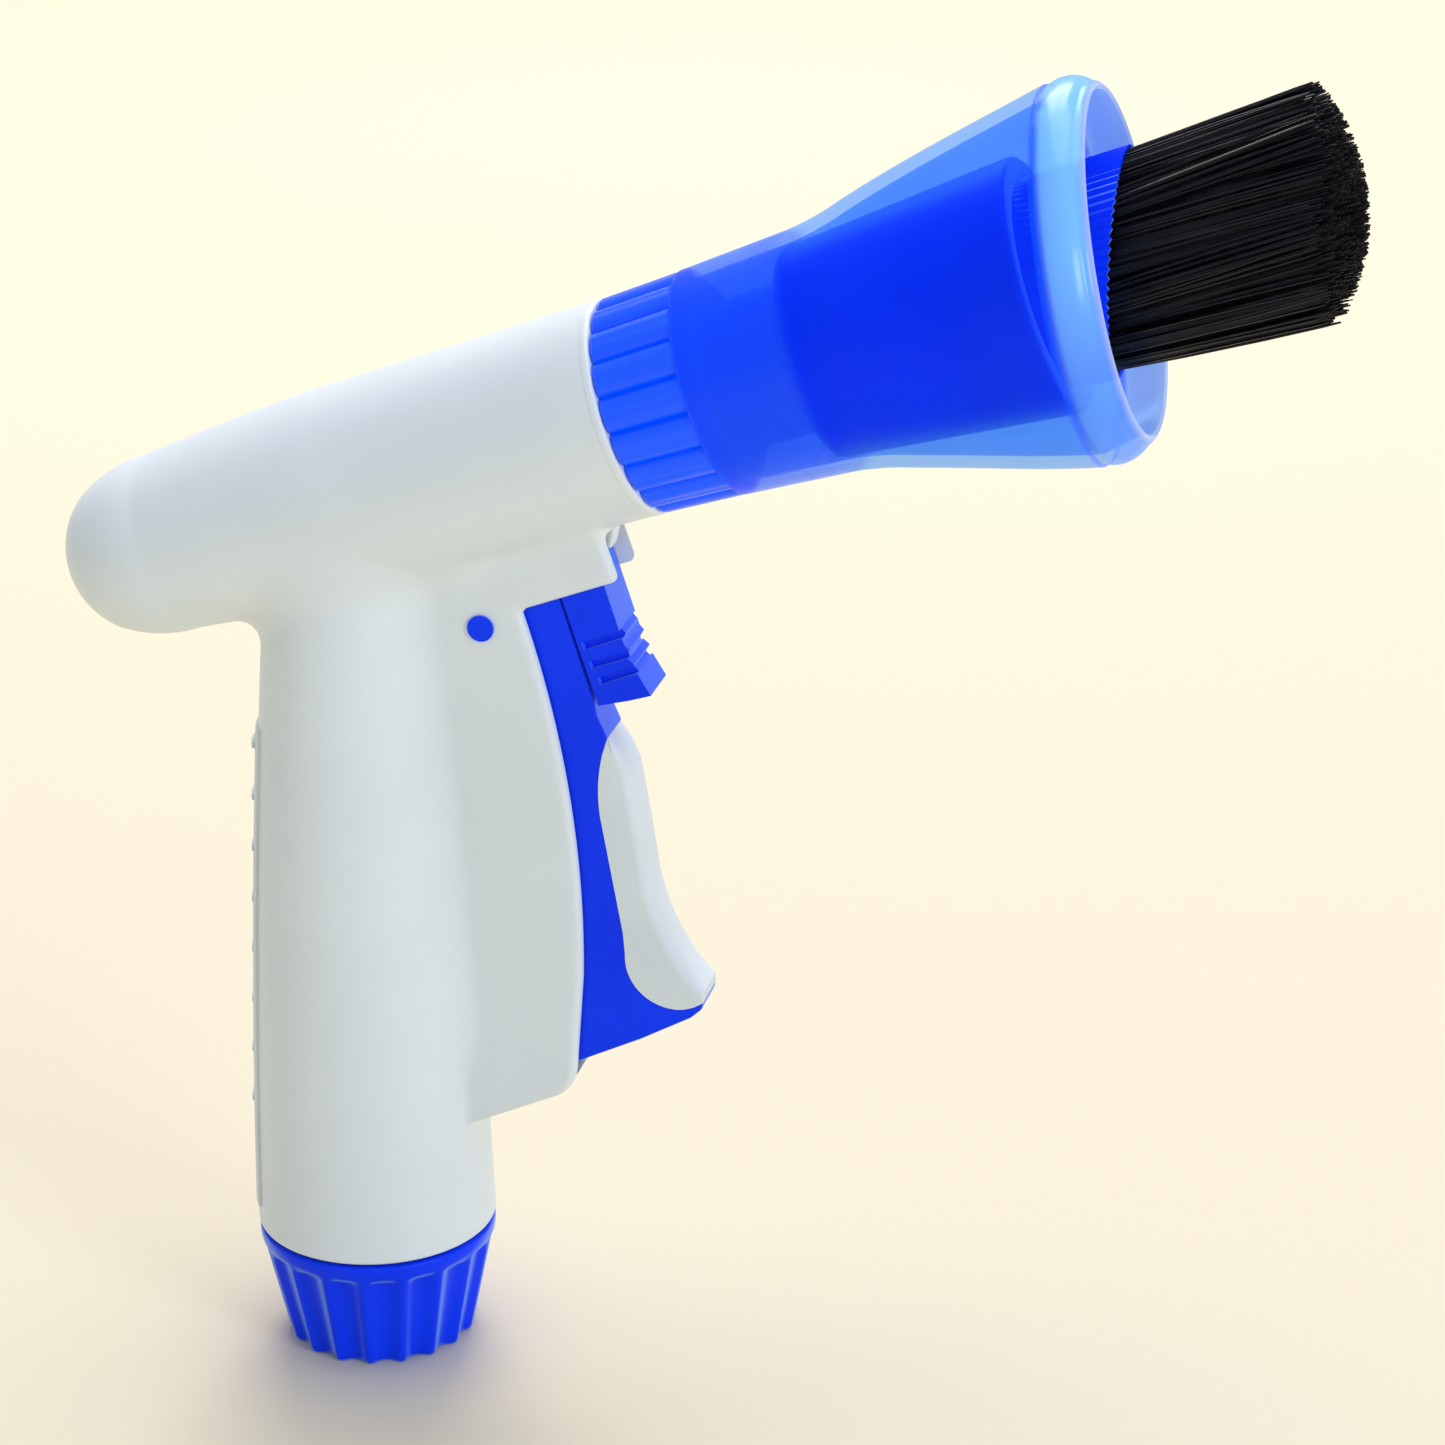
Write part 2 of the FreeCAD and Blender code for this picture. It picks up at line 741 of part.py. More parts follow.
def make_lock_slider():
    """Thumb slider on the trigger's nose; pushed up it wedges under the catch."""
    slider = start("lock_slider")
    pad(slider, draw(sketch_on(slider), [
        (45.1, 126.3),
        (50.4, 127.6),
        (54.5, 128.8),
        (51.2, 133.8, -22),
        (49.4, 139.0),
        (46.6, 147.7),
        (45.2, 152.0),
        (42.4, 151.1),
        (43.8, 146.9),
        (39.0, 145.4),
    ]), "slider_half")
    pad(slider, draw(sketch_on(slider), [
        (44.2, 129.4),
        (41.1, 139.2),
        (38.7, 138.4),
        (41.7, 128.8),
    ]), "tongue_half")


def make_trigger_pin():
    """Pin across the fin that the trigger swings on."""
    pin = turned("trigger_pin", [
        (0, "-(fin_half + pin_head)"),
        ("pin_head_radius", "-(fin_half + pin_head)"),
        ("pin_head_radius", "-fin_half"),
        ("pin_radius", "-fin_half"),
        ("pin_radius", "fin_half"),
        ("pin_head_radius", "fin_half"),
        ("pin_head_radius", "fin_half + pin_head"),
        (0, "fin_half + pin_head"),
    ])
    pin.Placement = Placement(Vector(), Rotation(Vector(1, 0, 0), -90))
    pin.setExpression("Placement.Base.x", cell("pin_x"))
    pin.setExpression("Placement.Base.z", cell("pin_z"))


# ---------------------------------------------------------------- funnel and brush

def make_funnel_shroud():
    """Clear blue funnel with a ribbed collar, a bayonet groove inside it and a rolled lip."""
    shroud = start("funnel_shroud")
    turn_solid(shroud, draw(sketch_on(shroud), [
        ("collar_bore", "collar_back"),
        ("collar_radius", "collar_back"),
        ("collar_front_radius", "collar_front"),
        ("waist_radius", "waist_front", -52),
        ("flare_back_radius", "flare_back", 500),
        ("crease_radius", "crease"),
        ("crease_radius - 0.4", "crease + 0.3"),
        ("crease_radius + 0.1", "crease + 0.8", 8),
        ("lip_radius - 1.5", "lip_front - 1.6", 2.2),
        ("lip_radius - 3.3", "lip_front", 1.6),
        ("lip_radius - 4.0", "lip_front - 2"),
        ("crease_radius - 2.6", "crease", -500),
        ("flare_back_radius - funnel_wall", "flare_back", 52),
        ("waist_radius - funnel_wall", "waist_front"),
        ("collar_front_radius - funnel_wall", "flange_back"),
        ("collar_bore", "flange_back"),
        ("collar_bore", "lug_front + 0.3"),
        ("collar_groove", "lug_front + 0.3"),
        ("collar_groove", "lug_back - 0.3"),
        ("collar_bore", "lug_back - 0.3"),
    ]))
    on_barrel(shroud)
    entry = turn_solid(shroud, draw(sketch_on(shroud), [
        ("collar_bore - 0.5", "collar_back - 1"),
        ("collar_groove", "collar_back - 1"),
        ("collar_groove", "lug_back"),
        ("collar_bore - 0.5", "lug_back"),
    ]), angle="slot_angle", cut=True)
    around(shroud, entry, (origin_of(shroud, "Z_Axis"), [""]), 3)
    rib_gap = drill(shroud, "collar_radius + collar_rib_radius - 0.5", "collar_back - 1",
                    "collar_front - collar_back + 1", "collar_rib_radius")
    around(shroud, rib_gap, (origin_of(shroud, "Z_Axis"), [""]), "collar_rib_count")


def make_brush_head():
    """Opaque blue hub inside the funnel, its seal, and the ferrule that grips the bristles."""
    head = turned("brush_head", [
        ("hub_bore", "hub_back"),
        ("collar_bore - 0.1", "hub_back"),
        ("collar_bore - 0.1", "flange_back"),
        ("flange_radius", "flange_back"),
        ("flange_radius", "flange_front"),
        ("hub_neck_radius", "flange_front"),
        ("hub_neck_radius", "hub_step - 2"),
        ("hub_step_radius", "hub_step"),
        ("hub_front_radius", "hub_front"),
        ("ferrule_radius", "hub_front"),
        ("ferrule_radius", "ferrule_back"),
        ("hub_chamber", "ferrule_back"),
        ("hub_chamber", "hub_step + 8"),
        ("hub_bore", "hub_step + 2"),
    ], on_barrel)
    groove = draw(sketch_on(head), [
        ("collar_bore - 1.6", "hub_ring - 0.8"),
        ("collar_bore + 1", "hub_ring - 0.8"),
        ("collar_bore + 1", "hub_ring + 0.8"),
        ("collar_bore - 1.6", "hub_ring + 0.8"),
    ])
    turn_solid(head, groove, cut=True)
    ring = o_ring("head_o_ring", "collar_bore - 0.8", 0.78)
    ring.Placement = Placement(Vector(), Rotation(Vector(0, 1, 0), 90))
    ring.setExpression("Placement.Rotation.Angle", cell("90 - barrel_tilt"))
    ring.setExpression("Placement.Base.x", f"{cell('hub_ring')} * cos({cell('barrel_tilt')})")
    ring.setExpression("Placement.Base.z", f"{cell('barrel_height')} + {cell('hub_ring')} * "
                                           f"sin({cell('barrel_tilt')})")
    tube("neck_gasket", "neck_bore", "neck_radius - 0.2", "neck_front", "hub_back - 0.1", on_barrel)


def make_bristle_ferrule():
    """Sleeve around the bristle roots, cut upright at its front."""
    front = "ferrule_front + ferrule_slope + 1"
    ferrule = turned("bristle_ferrule", [
        ("ferrule_bore", "ferrule_back"),
        ("ferrule_radius", "ferrule_back"),
        ("ferrule_radius", "hub_front"),
        ("ferrule_radius + 0.3", front),
        ("ferrule_bore + 0.7", front),
        ("ferrule_bore", "hub_front"),
    ], on_barrel)
    pocket(ferrule, draw(sketch_on(ferrule), [
        (-20, "ferrule_front + 20 / ferrule_radius * ferrule_slope"),
        (20, "ferrule_front - 20 / ferrule_radius * ferrule_slope"),
        (20, "ferrule_front + 12"),
        (-20, "ferrule_front + 12"),
    ]), 20)


def make_spray_plate():
    """Disc with fine jets that the bristles stand on."""
    plate = turned("spray_plate", [
        (0, "plate_back"),
        ("ferrule_bore", "plate_back"),
        ("ferrule_bore", "plate_front"),
        (0, "plate_front"),
    ], on_barrel)
    drill(plate, 0, "plate_back - 1", 6, "plate_hole")
    for distance, count in ((4.0, 6), (8.0, 12), (12.2, 18)):
        jet = drill(plate, distance, "plate_back - 1", 6, "plate_hole")
        around(plate, jet, (origin_of(plate, "Z_Axis"), [""]), count)


def make_bristles():
    """The bristle bundle as one plain solid with a domed end that leans forward at the top."""
    bundle = doc.addObject("Part::Cone", "bristle_bundle")
    bind(bundle, "Radius1", "bristle_root_radius")
    bind(bundle, "Radius2", "bristle_tip_radius")
    bind(bundle, "Height", "bristle_end - plate_front")
    bundle.setExpression("Placement.Base.z", cell("plate_front"))
    dome = doc.addObject("Part::Sphere", "bristle_dome")
    bind(dome, "Radius", "dome_radius")
    dome.setExpression("Placement.Base.x", cell("-dome_offset"))
    dome.setExpression("Placement.Base.z", cell("dome_centre"))
    bristles = doc.addObject("Part::Common", "bristle_tufts")
    bristles.Label = "bristle_tufts"
    bristles.Base = bundle
    bristles.Tool = dome
    pieces.append(bristles)
    doc.recompute()
    on_barrel(bristles)


# ---------------------------------------------------------------- build, check, write

def build():
    """Make every piece."""
    make_body_shell()
    make_rear_grip_strip()
    make_hose_nut()
    make_inlet()
    make_valve()
    make_trigger()
    make_trigger_pad()
    make_lock_slider()
    make_trigger_pin()
    make_funnel_shroud()
    make_brush_head()
    make_bristle_ferrule()
    make_spray_plate()
    make_bristles()
    doc.recompute()


def check():
    """Stop before anything is written if an object failed or a piece isn't a sound solid."""
    for thing in doc.Objects:
        if "Invalid" in thing.State or "Error" in thing.State:
            raise RuntimeError(f"{thing.Label} failed: {thing.State}")
    for piece in pieces:
        shape = piece.Shape
        if shape.isNull() or not shape.isValid() or not shape.Solids:
            raise RuntimeError(f"{piece.Label} is not a sound solid")
        box = shape.BoundBox
        print(f"{piece.Label:18s} {len(shape.Solids)} solid, {shape.Volume:10.1f} mm3, "
              f"x {box.XMin:.1f}..{box.XMax:.1f} y {box.YMin:.1f}..{box.YMax:.1f} "
              f"z {box.ZMin:.1f}..{box.ZMax:.1f}")


def write():
    """One STEP file for each piece, named after it."""
    os.makedirs("parts", exist_ok=True)
    for piece in pieces:
        piece.Shape.exportStep(f"parts/{piece.Label}.step")


build()
check()
write()
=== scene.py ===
"""Looks of a handheld pet bath sprayer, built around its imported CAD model.

Sizes are in millimetres in the sub-assemblies and become metres when a mesh is made. The
handle stands on Z. The barrel, funnel and brush share one axis that rises forward.
"""
import json
import logging
import math
import random
from dataclasses import dataclass
from enum import Enum
from typing import Mapping, Optional, Sequence

import bpy
import numpy as np
from mathutils import Matrix, Vector


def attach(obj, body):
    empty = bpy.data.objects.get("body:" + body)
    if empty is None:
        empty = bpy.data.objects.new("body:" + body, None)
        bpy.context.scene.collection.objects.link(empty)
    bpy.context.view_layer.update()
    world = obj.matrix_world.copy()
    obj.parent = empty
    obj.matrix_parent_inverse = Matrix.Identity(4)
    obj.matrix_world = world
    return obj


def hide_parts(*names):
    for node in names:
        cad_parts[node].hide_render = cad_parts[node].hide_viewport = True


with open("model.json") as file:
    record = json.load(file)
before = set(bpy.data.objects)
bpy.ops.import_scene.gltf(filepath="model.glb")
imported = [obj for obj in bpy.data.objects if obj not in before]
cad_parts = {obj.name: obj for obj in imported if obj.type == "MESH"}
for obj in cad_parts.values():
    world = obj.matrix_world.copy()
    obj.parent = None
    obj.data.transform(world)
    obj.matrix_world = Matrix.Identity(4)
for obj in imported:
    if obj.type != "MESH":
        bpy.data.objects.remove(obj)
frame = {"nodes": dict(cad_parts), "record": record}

Corner = tuple[float, ...]
Pair = tuple[float, float]
Triple = tuple[float, float, float]
Outline = list[Pair]
Piece = bpy.types.Object

MM = 0.001
BARREL_TILT = math.radians(19.5)
BARREL_HEIGHT = 159.8
ALONG = Vector((math.cos(BARREL_TILT), 0.0, math.sin(BARREL_TILT)))

log = logging.getLogger("bath_sprayer")


class Slot(Enum):
    """The finishes that the record names."""

    WHITE = "white_plastic"
    BLUE = "blue_plastic"
    CLEAR = "clear_blue_plastic"
    GREY_RUBBER = "grey_rubber"
    BLACK_RUBBER = "black_rubber"
    BRISTLE = "bristle"
    STEEL = "steel"
    BRASS = "brass"


class Body(Enum):
    """The bodies that move."""

    HANDLE = "handle"
    NUT = "hose_nut"
    TRIGGER = "trigger"
    SLIDER = "lock_slider"
    BRUSH = "brush_unit"


# ---- outlines


def trace(corners: Sequence[Corner], step: float = 1.0, closed: bool = False) -> Outline:
    """Turn corners into a line of points.

    Args:
        corners: (x, y), or (x, y, radius) where an arc leads from the corner on. A positive
            radius turns left and a negative one right.
        step: longest piece of an arc.
        closed: whether an arc or line leads from the last corner to the first.

    Returns:
        The points, without a second copy of the first.
    """
    points: Outline = []
    last = len(corners) if closed else len(corners) - 1
    for index in range(last):
        here = np.array(corners[index][:2], float)
        there = np.array(corners[(index + 1) % len(corners)][:2], float)
        points.append((float(here[0]), float(here[1])))
        bend = corners[index][2] if len(corners[index]) > 2 else 0.0
        if not bend:
            continue
        chord = there - here
        length = float(np.hypot(*chord))
        side = np.array([-chord[1], chord[0]]) / length * math.copysign(1, bend)
        centre = here + chord / 2 + side * math.sqrt(bend**2 - (length / 2) ** 2)
        first = math.atan2(*(here - centre)[::-1])
        sweep = 2 * math.asin(length / 2 / abs(bend)) * math.copysign(1, bend)
        count = max(2, math.ceil(abs(sweep * bend) / step))
        for part in range(1, count):
            angle = first + sweep * part / count
            spoke = np.array([math.cos(angle), math.sin(angle)]) * abs(bend)
            points.append((float(centre[0] + spoke[0]), float(centre[1] + spoke[1])))
    if not closed:
        points.append((float(corners[-1][0]), float(corners[-1][1])))
    return points


def swapped(points: Outline) -> Outline:
    """The same line with its two directions exchanged."""
    return [(b, a) for a, b in points]


def spaced(points: Outline, step: float) -> Outline:
    """Add points so that no straight run is longer than step."""
    dense: Outline = []
    for (x0, y0), (x1, y1) in zip(points, points[1:]):
        count = max(1, math.ceil(math.hypot(x1 - x0, y1 - y0) / step))
        dense += [(x0 + (x1 - x0) * i / count, y0 + (y1 - y0) * i / count) for i in range(count)]
    return dense + [points[-1]]


def inset(points: Outline, depth: float) -> Outline:
    """Move a closed outline inwards by depth, corner by corner."""
    ring = np.array(points)
    area = 0.5 * np.sum(ring[:, 0] * np.roll(ring[:, 1], -1) - np.roll(ring[:, 0], -1) * ring[:, 1])
    before, after = ring - np.roll(ring, 1, 0), np.roll(ring, -1, 0) - ring
    normals = []
    for edge in (before, after):
        edge = edge / np.linalg.norm(edge, axis=1, keepdims=True)
        normals.append(np.stack([-edge[:, 1], edge[:, 0]], 1) * math.copysign(1, area))
    middle = normals[0] + normals[1]
    scale = 2 / np.maximum(np.sum(middle * middle, axis=1, keepdims=True), 0.5)
    moved = ring + middle * scale * depth
    return [(float(x), float(y)) for x, y in moved]


def smooth_rise(value: np.ndarray, low: float, high: float) -> np.ndarray:
    """A soft step from nought at low to one at high."""
    share = np.clip((value - low) / (high - low), 0, 1)
    return share * share * (3 - 2 * share)


# ---- modelling


class Bench:
    """Modelling moves that every sub-assembly shares."""

    @staticmethod
    def clear() -> None:
        """Leave edit mode and select nothing."""
        if bpy.context.mode != "OBJECT":
            bpy.ops.object.mode_set(mode="OBJECT")
        bpy.ops.object.select_all(action="DESELECT")

    @staticmethod
    def focus(piece: Piece, edit: bool = False) -> None:
        """Make one piece the selected and active one, and open it for editing if asked."""
        Bench.clear()
        piece.select_set(True)
        bpy.context.view_layer.objects.active = piece
        if edit:
            bpy.ops.object.mode_set(mode="EDIT")
            bpy.ops.mesh.select_all(action="SELECT")

    @staticmethod
    def places(piece: Piece) -> np.ndarray:
        """Every vertex of a piece, in millimetres."""
        flat = np.empty(len(piece.data.vertices) * 3)
        piece.data.vertices.foreach_get("co", flat)
        return flat.reshape(-1, 3) / MM

    @staticmethod
    def move_to(piece: Piece, places: np.ndarray) -> None:
        """Put every vertex of a piece at its given place, in millimetres."""
        piece.data.vertices.foreach_set("co", (places * MM).ravel())
        piece.data.update()

    @staticmethod
    def turn(name: str, profile: Outline, steps: int = 96) -> Piece:
        """Pull a circle up through a profile, ring by ring.

        Args:
            name: the piece's name.
            profile: (radius, height) points. Where the line ends at radius nought the end is
                closed, and where it ends on its start the shell closes on itself.
            steps: points round each ring.

        Returns:
            The piece, about Z.
        """
        least = 1e-3
        rings = [(max(radius, least), height) for radius, height in profile]
        Bench.clear()
        bpy.ops.mesh.primitive_circle_add(
            vertices=steps, radius=rings[0][0] * MM, location=(0, 0, rings[0][1] * MM)
        )
        piece = bpy.context.object
        piece.name = piece.data.name = name
        bpy.ops.object.transform_apply(location=True, rotation=True, scale=True)
        bpy.ops.object.mode_set(mode="EDIT")
        bpy.ops.mesh.select_mode(type="EDGE")
        bpy.ops.mesh.select_all(action="SELECT")
        for (before, low), (after, high) in zip(rings, rings[1:]):
            bpy.ops.mesh.extrude_edges_move(
                TRANSFORM_OT_translate={"value": (0, 0, (high - low) * MM)}
            )
            wide = after / before
            bpy.ops.transform.resize(value=(wide, wide, 1), center_override=(0, 0, high * MM))
        bpy.ops.mesh.select_all(action="SELECT")
        bpy.ops.mesh.remove_doubles(threshold=4e-6)
        bpy.ops.mesh.normals_make_consistent(inside=False)
        bpy.ops.object.mode_set(mode="OBJECT")
        return piece

    @staticmethod
    def rod(name: str, radius: float, low: float, high: float, steps: int = 48) -> Piece:
        """A solid cylinder about Z from low to high."""
        return Bench.turn(name, [(0, low), (radius, low), (radius, high), (0, high)], steps)

    @staticmethod
    def plate(
        name: str, outline: Outline, half: float, across: Sequence[float] = ()
    ) -> Piece:
        """Extrude a closed (x, z) outline to both sides of the middle plane.

        Args:
            name: the piece's name.
            outline: the outline's corners.
            half: half the thickness.
            across: every slice's place through the thickness, where it needs more than two.

        Returns:
            The piece.
        """
        Bench.clear()
        bpy.ops.mesh.primitive_circle_add(vertices=len(outline), radius=MM, fill_type="NGON")
        piece = bpy.context.object
        piece.name = piece.data.name = name
        Bench.move_to(piece, np.array([(x, -half, z) for x, z in outline]))
        bpy.ops.object.mode_set(mode="EDIT")
        bpy.ops.mesh.select_mode(type="FACE")
        bpy.ops.mesh.select_all(action="SELECT")
        slices = list(across) or [-half, half]
        for before, after in zip(slices, slices[1:]):
            bpy.ops.mesh.extrude_region_move(
                TRANSFORM_OT_translate={"value": (0, (after - before) * MM, 0)}
            )
        bpy.ops.mesh.select_all(action="SELECT")
        bpy.ops.mesh.normals_make_consistent(inside=False)
        bpy.ops.object.mode_set(mode="OBJECT")
        return piece

    @staticmethod
    def modify(piece: Piece, kind: str, **settings: object) -> None:
        """Add one modifier, set it and apply it."""
        Bench.focus(piece)
        bpy.ops.object.modifier_add(type=kind)
        modifier = piece.modifiers[-1]
        for name, value in settings.items():
            setattr(modifier, name, value)
        bpy.ops.object.modifier_apply(modifier=modifier.name)

    @staticmethod
    def carve(piece: Piece, *tools: Piece) -> None:
        """Cut each tool out of a piece and throw the tool away."""
        for tool in tools:
            Bench.modify(piece, "BOOLEAN", object=tool, operation="DIFFERENCE", solver="EXACT")
            bpy.data.objects.remove(tool)

    @staticmethod
    def round_edges(piece: Piece, width: float, segments: int = 3) -> None:
        """Round every edge that is sharper than 30 degrees."""
        settings = {"limit_method": "ANGLE", "angle_limit": math.radians(30)}
        settings |= {"width": width * MM, "segments": segments, "use_clamp_overlap": True}
        Bench.modify(piece, "BEVEL", **settings)

    @staticmethod
    def join(piece: Piece, *others: Piece) -> Piece:
        """Make other pieces part of one."""
        Bench.clear()
        for other in others:
            other.select_set(True)
        piece.select_set(True)
        bpy.context.view_layer.objects.active = piece
        bpy.ops.object.join()
        return piece

    @staticmethod
    def lay_on_barrel(piece: Piece) -> Piece:
        """Turn a piece's own Z to the barrel's axis, so that its own -X points up."""
        turn = Matrix.Rotation(math.pi / 2 - BARREL_TILT, 4, "Y")
        piece.matrix_world = Matrix.Translation((0, 0, BARREL_HEIGHT * MM)) @ turn
        Bench.focus(piece)
        bpy.ops.object.transform_apply(location=True, rotation=True, scale=True)
        return piece

    @staticmethod
    def smooth(piece: Piece, degrees: float = 32.0) -> None:
        """Shade smooth across every edge that is blunter than an angle."""
        Bench.focus(piece)
        bpy.ops.object.shade_smooth_by_angle(angle=math.radians(degrees))

    @staticmethod
    def flatten(piece: Piece, degrees: float = 32.0) -> None:
        """Shade smooth, with large faces kept flat."""
        Bench.smooth(piece, degrees)
        Bench.modify(piece, "WEIGHTED_NORMAL", keep_sharp=True, weight=80)

    @staticmethod
    def fit(
        piece: Piece,
        body: Body,
        slot: Slot,
        finishes: "Finishes",
        node: str,
    ) -> None:
        """Dress a finished piece and tie it to its body.

        Args:
            piece: the finished piece.
            body: the body that it rides on.
            slot: the record's finish.
            finishes: the materials.
            node: the CAD node that it stands for.
        """
        piece.data.materials.clear()
        piece.data.materials.append(finishes[slot])
        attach(piece, body.value)
        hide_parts(node)
        log.info("%s: %d faces", piece.name, len(piece.data.polygons))


class Distance:
    """Signed distances in millimetres, negative inside."""

    @staticmethod
    def to_outline(points: Outline, across: np.ndarray, up: np.ndarray) -> np.ndarray:
        """Distance of many places from a closed flat outline.

        Args:
            points: the outline's corners.
            across: the places' first coordinate.
            up: the places' second coordinate.

        Returns:
            One distance for each place.
        """
        nearest = np.full(across.shape, np.inf)
        inside = np.zeros(across.shape, bool)
        for (x0, y0), (x1, y1) in zip(points, points[1:] + points[:1]):
            run, rise = x1 - x0, y1 - y0
            along = np.clip(
                ((across - x0) * run + (up - y0) * rise) / (run * run + rise * rise), 0, 1
            )
            gap = (across - x0 - run * along) ** 2 + (up - y0 - rise * along) ** 2
            nearest = np.minimum(nearest, gap)
            if rise:
                inside ^= ((y0 > up) != (y1 > up)) & (across < run * (up - y0) / rise + x0)
        return np.where(inside, -1, 1) * np.sqrt(nearest)

    @staticmethod
    def to_plate(points: Outline, half: float, edge: float, place: np.ndarray) -> np.ndarray:
        """Distance from a plate in the middle plane whose edges are rounded by edge."""
        flat = Distance.to_outline(inset(points, edge), place[:, 0], place[:, 2])
        side = np.abs(place[:, 1]) - half + edge
        beyond = np.hypot(np.maximum(flat, 0), np.maximum(side, 0))
        return np.minimum(np.maximum(flat, side), 0) + beyond - edge

    @staticmethod
    def rounded_union(a: np.ndarray, b: np.ndarray, radius: np.ndarray | float) -> np.ndarray:
        """Join two bodies with a round fillet where they meet."""
        corner = np.hypot(np.maximum(radius - a, 0), np.maximum(radius - b, 0))
        return np.maximum(radius, np.minimum(a, b)) - corner


# ---- shader desk


class Value:
    """A shader value that can stand in ordinary arithmetic."""

    def __init__(self, desk: "ShaderDesk", socket: bpy.types.NodeSocket) -> None:
        """Wrap one output socket."""
        self.desk = desk
        self.socket = socket

    def _math(self, operation: str, first: object, second: object = None) -> "Value":
        """Add one Math node and return its result."""
        inputs = {0: first} if second is None else {0: first, 1: second}
        return self.desk.value("ShaderNodeMath", {"operation": operation}, inputs)

    def __add__(self, other: object) -> "Value":
        """Self plus other."""
        return self._math("ADD", self, other)

    __radd__ = __add__

    def __sub__(self, other: object) -> "Value":
        """Self less other."""
        return self._math("SUBTRACT", self, other)

    def __rsub__(self, other: object) -> "Value":
        """Other less self."""
        return self._math("SUBTRACT", other, self)

    def __mul__(self, other: object) -> "Value":
        """Self times other."""
        return self._math("MULTIPLY", self, other)

    __rmul__ = __mul__

    def __truediv__(self, other: object) -> "Value":
        """Self over other."""
        return self._math("DIVIDE", self, other)

    def __pow__(self, other: object) -> "Value":
        """Self to a power."""
        return self._math("POWER", self, other)

    def between(self, low: float, high: float) -> "Value":
        """A soft step from nought at low to one at high."""
        settings = {"interpolation_type": "SMOOTHSTEP"}
        return self.desk.value("ShaderNodeMapRange", settings, {0: self, 1: low, 2: high})


class ShaderDesk:
    """Builds one material's nodes."""

    def __init__(self, name: str) -> None:
        """Start a material with nothing but its output."""
        self.material = bpy.data.materials.new(name)
        self.material.use_nodes = True
        self.tree = self.material.node_tree
        self.tree.nodes.clear()
        self.out = self.tree.nodes.new("ShaderNodeOutputMaterial")
        self.coords = self.node("ShaderNodeTexCoord").outputs["Object"]

    def node(
        self,
        kind: str,
        settings: Optional[Mapping[str, object]] = None,
        inputs: Optional[Mapping[object, object]] = None,
    ) -> bpy.types.Node:
        """Add one node.

        Args:
            kind: the node's type.
            settings: what is set on the node itself; "stops" gives a ramp's stops.
            inputs: numbers, colours or links for its sockets, by name or index.

        Returns:
            The node.
        """
        made = self.tree.nodes.new(kind)
        for name, setting in (settings or {}).items():
            if name == "stops":
                ramp = made.color_ramp
                while len(ramp.elements) < len(setting):
                    ramp.elements.new(0.5)
                for element, (place, colour) in zip(ramp.elements, setting):
                    element.position, element.color = place, colour
            else:
                setattr(made, name, setting)
        for key, given in (inputs or {}).items():
            socket = made.inputs[key]
            if isinstance(given, Value):
                given = given.socket
            if isinstance(given, bpy.types.NodeSocket):
                self.tree.links.new(given, socket)
            else:
                socket.default_value = given
        return made

    def value(
        self,
        kind: str,
        settings: Optional[Mapping[str, object]] = None,
        inputs: Optional[Mapping[object, object]] = None,
        output: object = 0,
    ) -> Value:
        """Add one node and wrap one of its outputs."""
        return Value(self, self.node(kind, settings, inputs).outputs[output])

    def noise(self, scale: float, detail: float = 3.0, stretch: Corner = (1, 1, 1)) -> Value:
        """Even noise in object space, stretched along the axes if asked."""
        place = self.coords
        if stretch != (1, 1, 1):
            place = self.node("ShaderNodeMapping", None, {"Vector": place, "Scale": stretch})
            place = place.outputs[0]
        inputs = {"Vector": place, "Scale": scale, "Detail": detail}
        return self.value("ShaderNodeTexNoise", None, inputs)

    def from_barrel(self) -> tuple[Value, Value, Value]:
        """Object coordinates with the point where the barrel's axis crosses Z as origin."""
        parts = self.node("ShaderNodeSeparateXYZ", None, {0: self.coords})
        x, y, z = (Value(self, socket) for socket in parts.outputs)
        return x, y, z - BARREL_HEIGHT * MM

    @staticmethod
    def along_barrel(x: Value, z: Value) -> Value:
        """Distance along the barrel's axis, in millimetres."""
        return (x * ALONG.x + z * ALONG.z) / MM

    def blend(self, share: object, low: object, high: Sequence[float]) -> Value:
        """Mix two colours, of which the first may be a colour or a link."""
        first = low if isinstance(low, Value) else (*low, 1)
        inputs = {0: share, 6: first, 7: (*high, 1)}
        settings = {"data_type": "RGBA"}
        return self.value("ShaderNodeMix", settings, inputs, 2)

    def bump(self, height: Value, strength: float, distance: float) -> bpy.types.NodeSocket:
        """A bumped normal from a height."""
        inputs = {"Height": height, "Strength": strength, "Distance": distance}
        return self.node("ShaderNodeBump", None, inputs).outputs[0]

    def skin(self, inputs: Mapping[str, object]) -> bpy.types.Node:
        """The surface shader with its inputs set."""
        return self.node("ShaderNodeBsdfPrincipled", None, inputs)

    def finish(self, shader: bpy.types.Node) -> bpy.types.Material:
        """Link the shader to the output and return the material."""
        self.tree.links.new(shader.outputs[0], self.out.inputs[0])
        return self.material


# ---- finishes


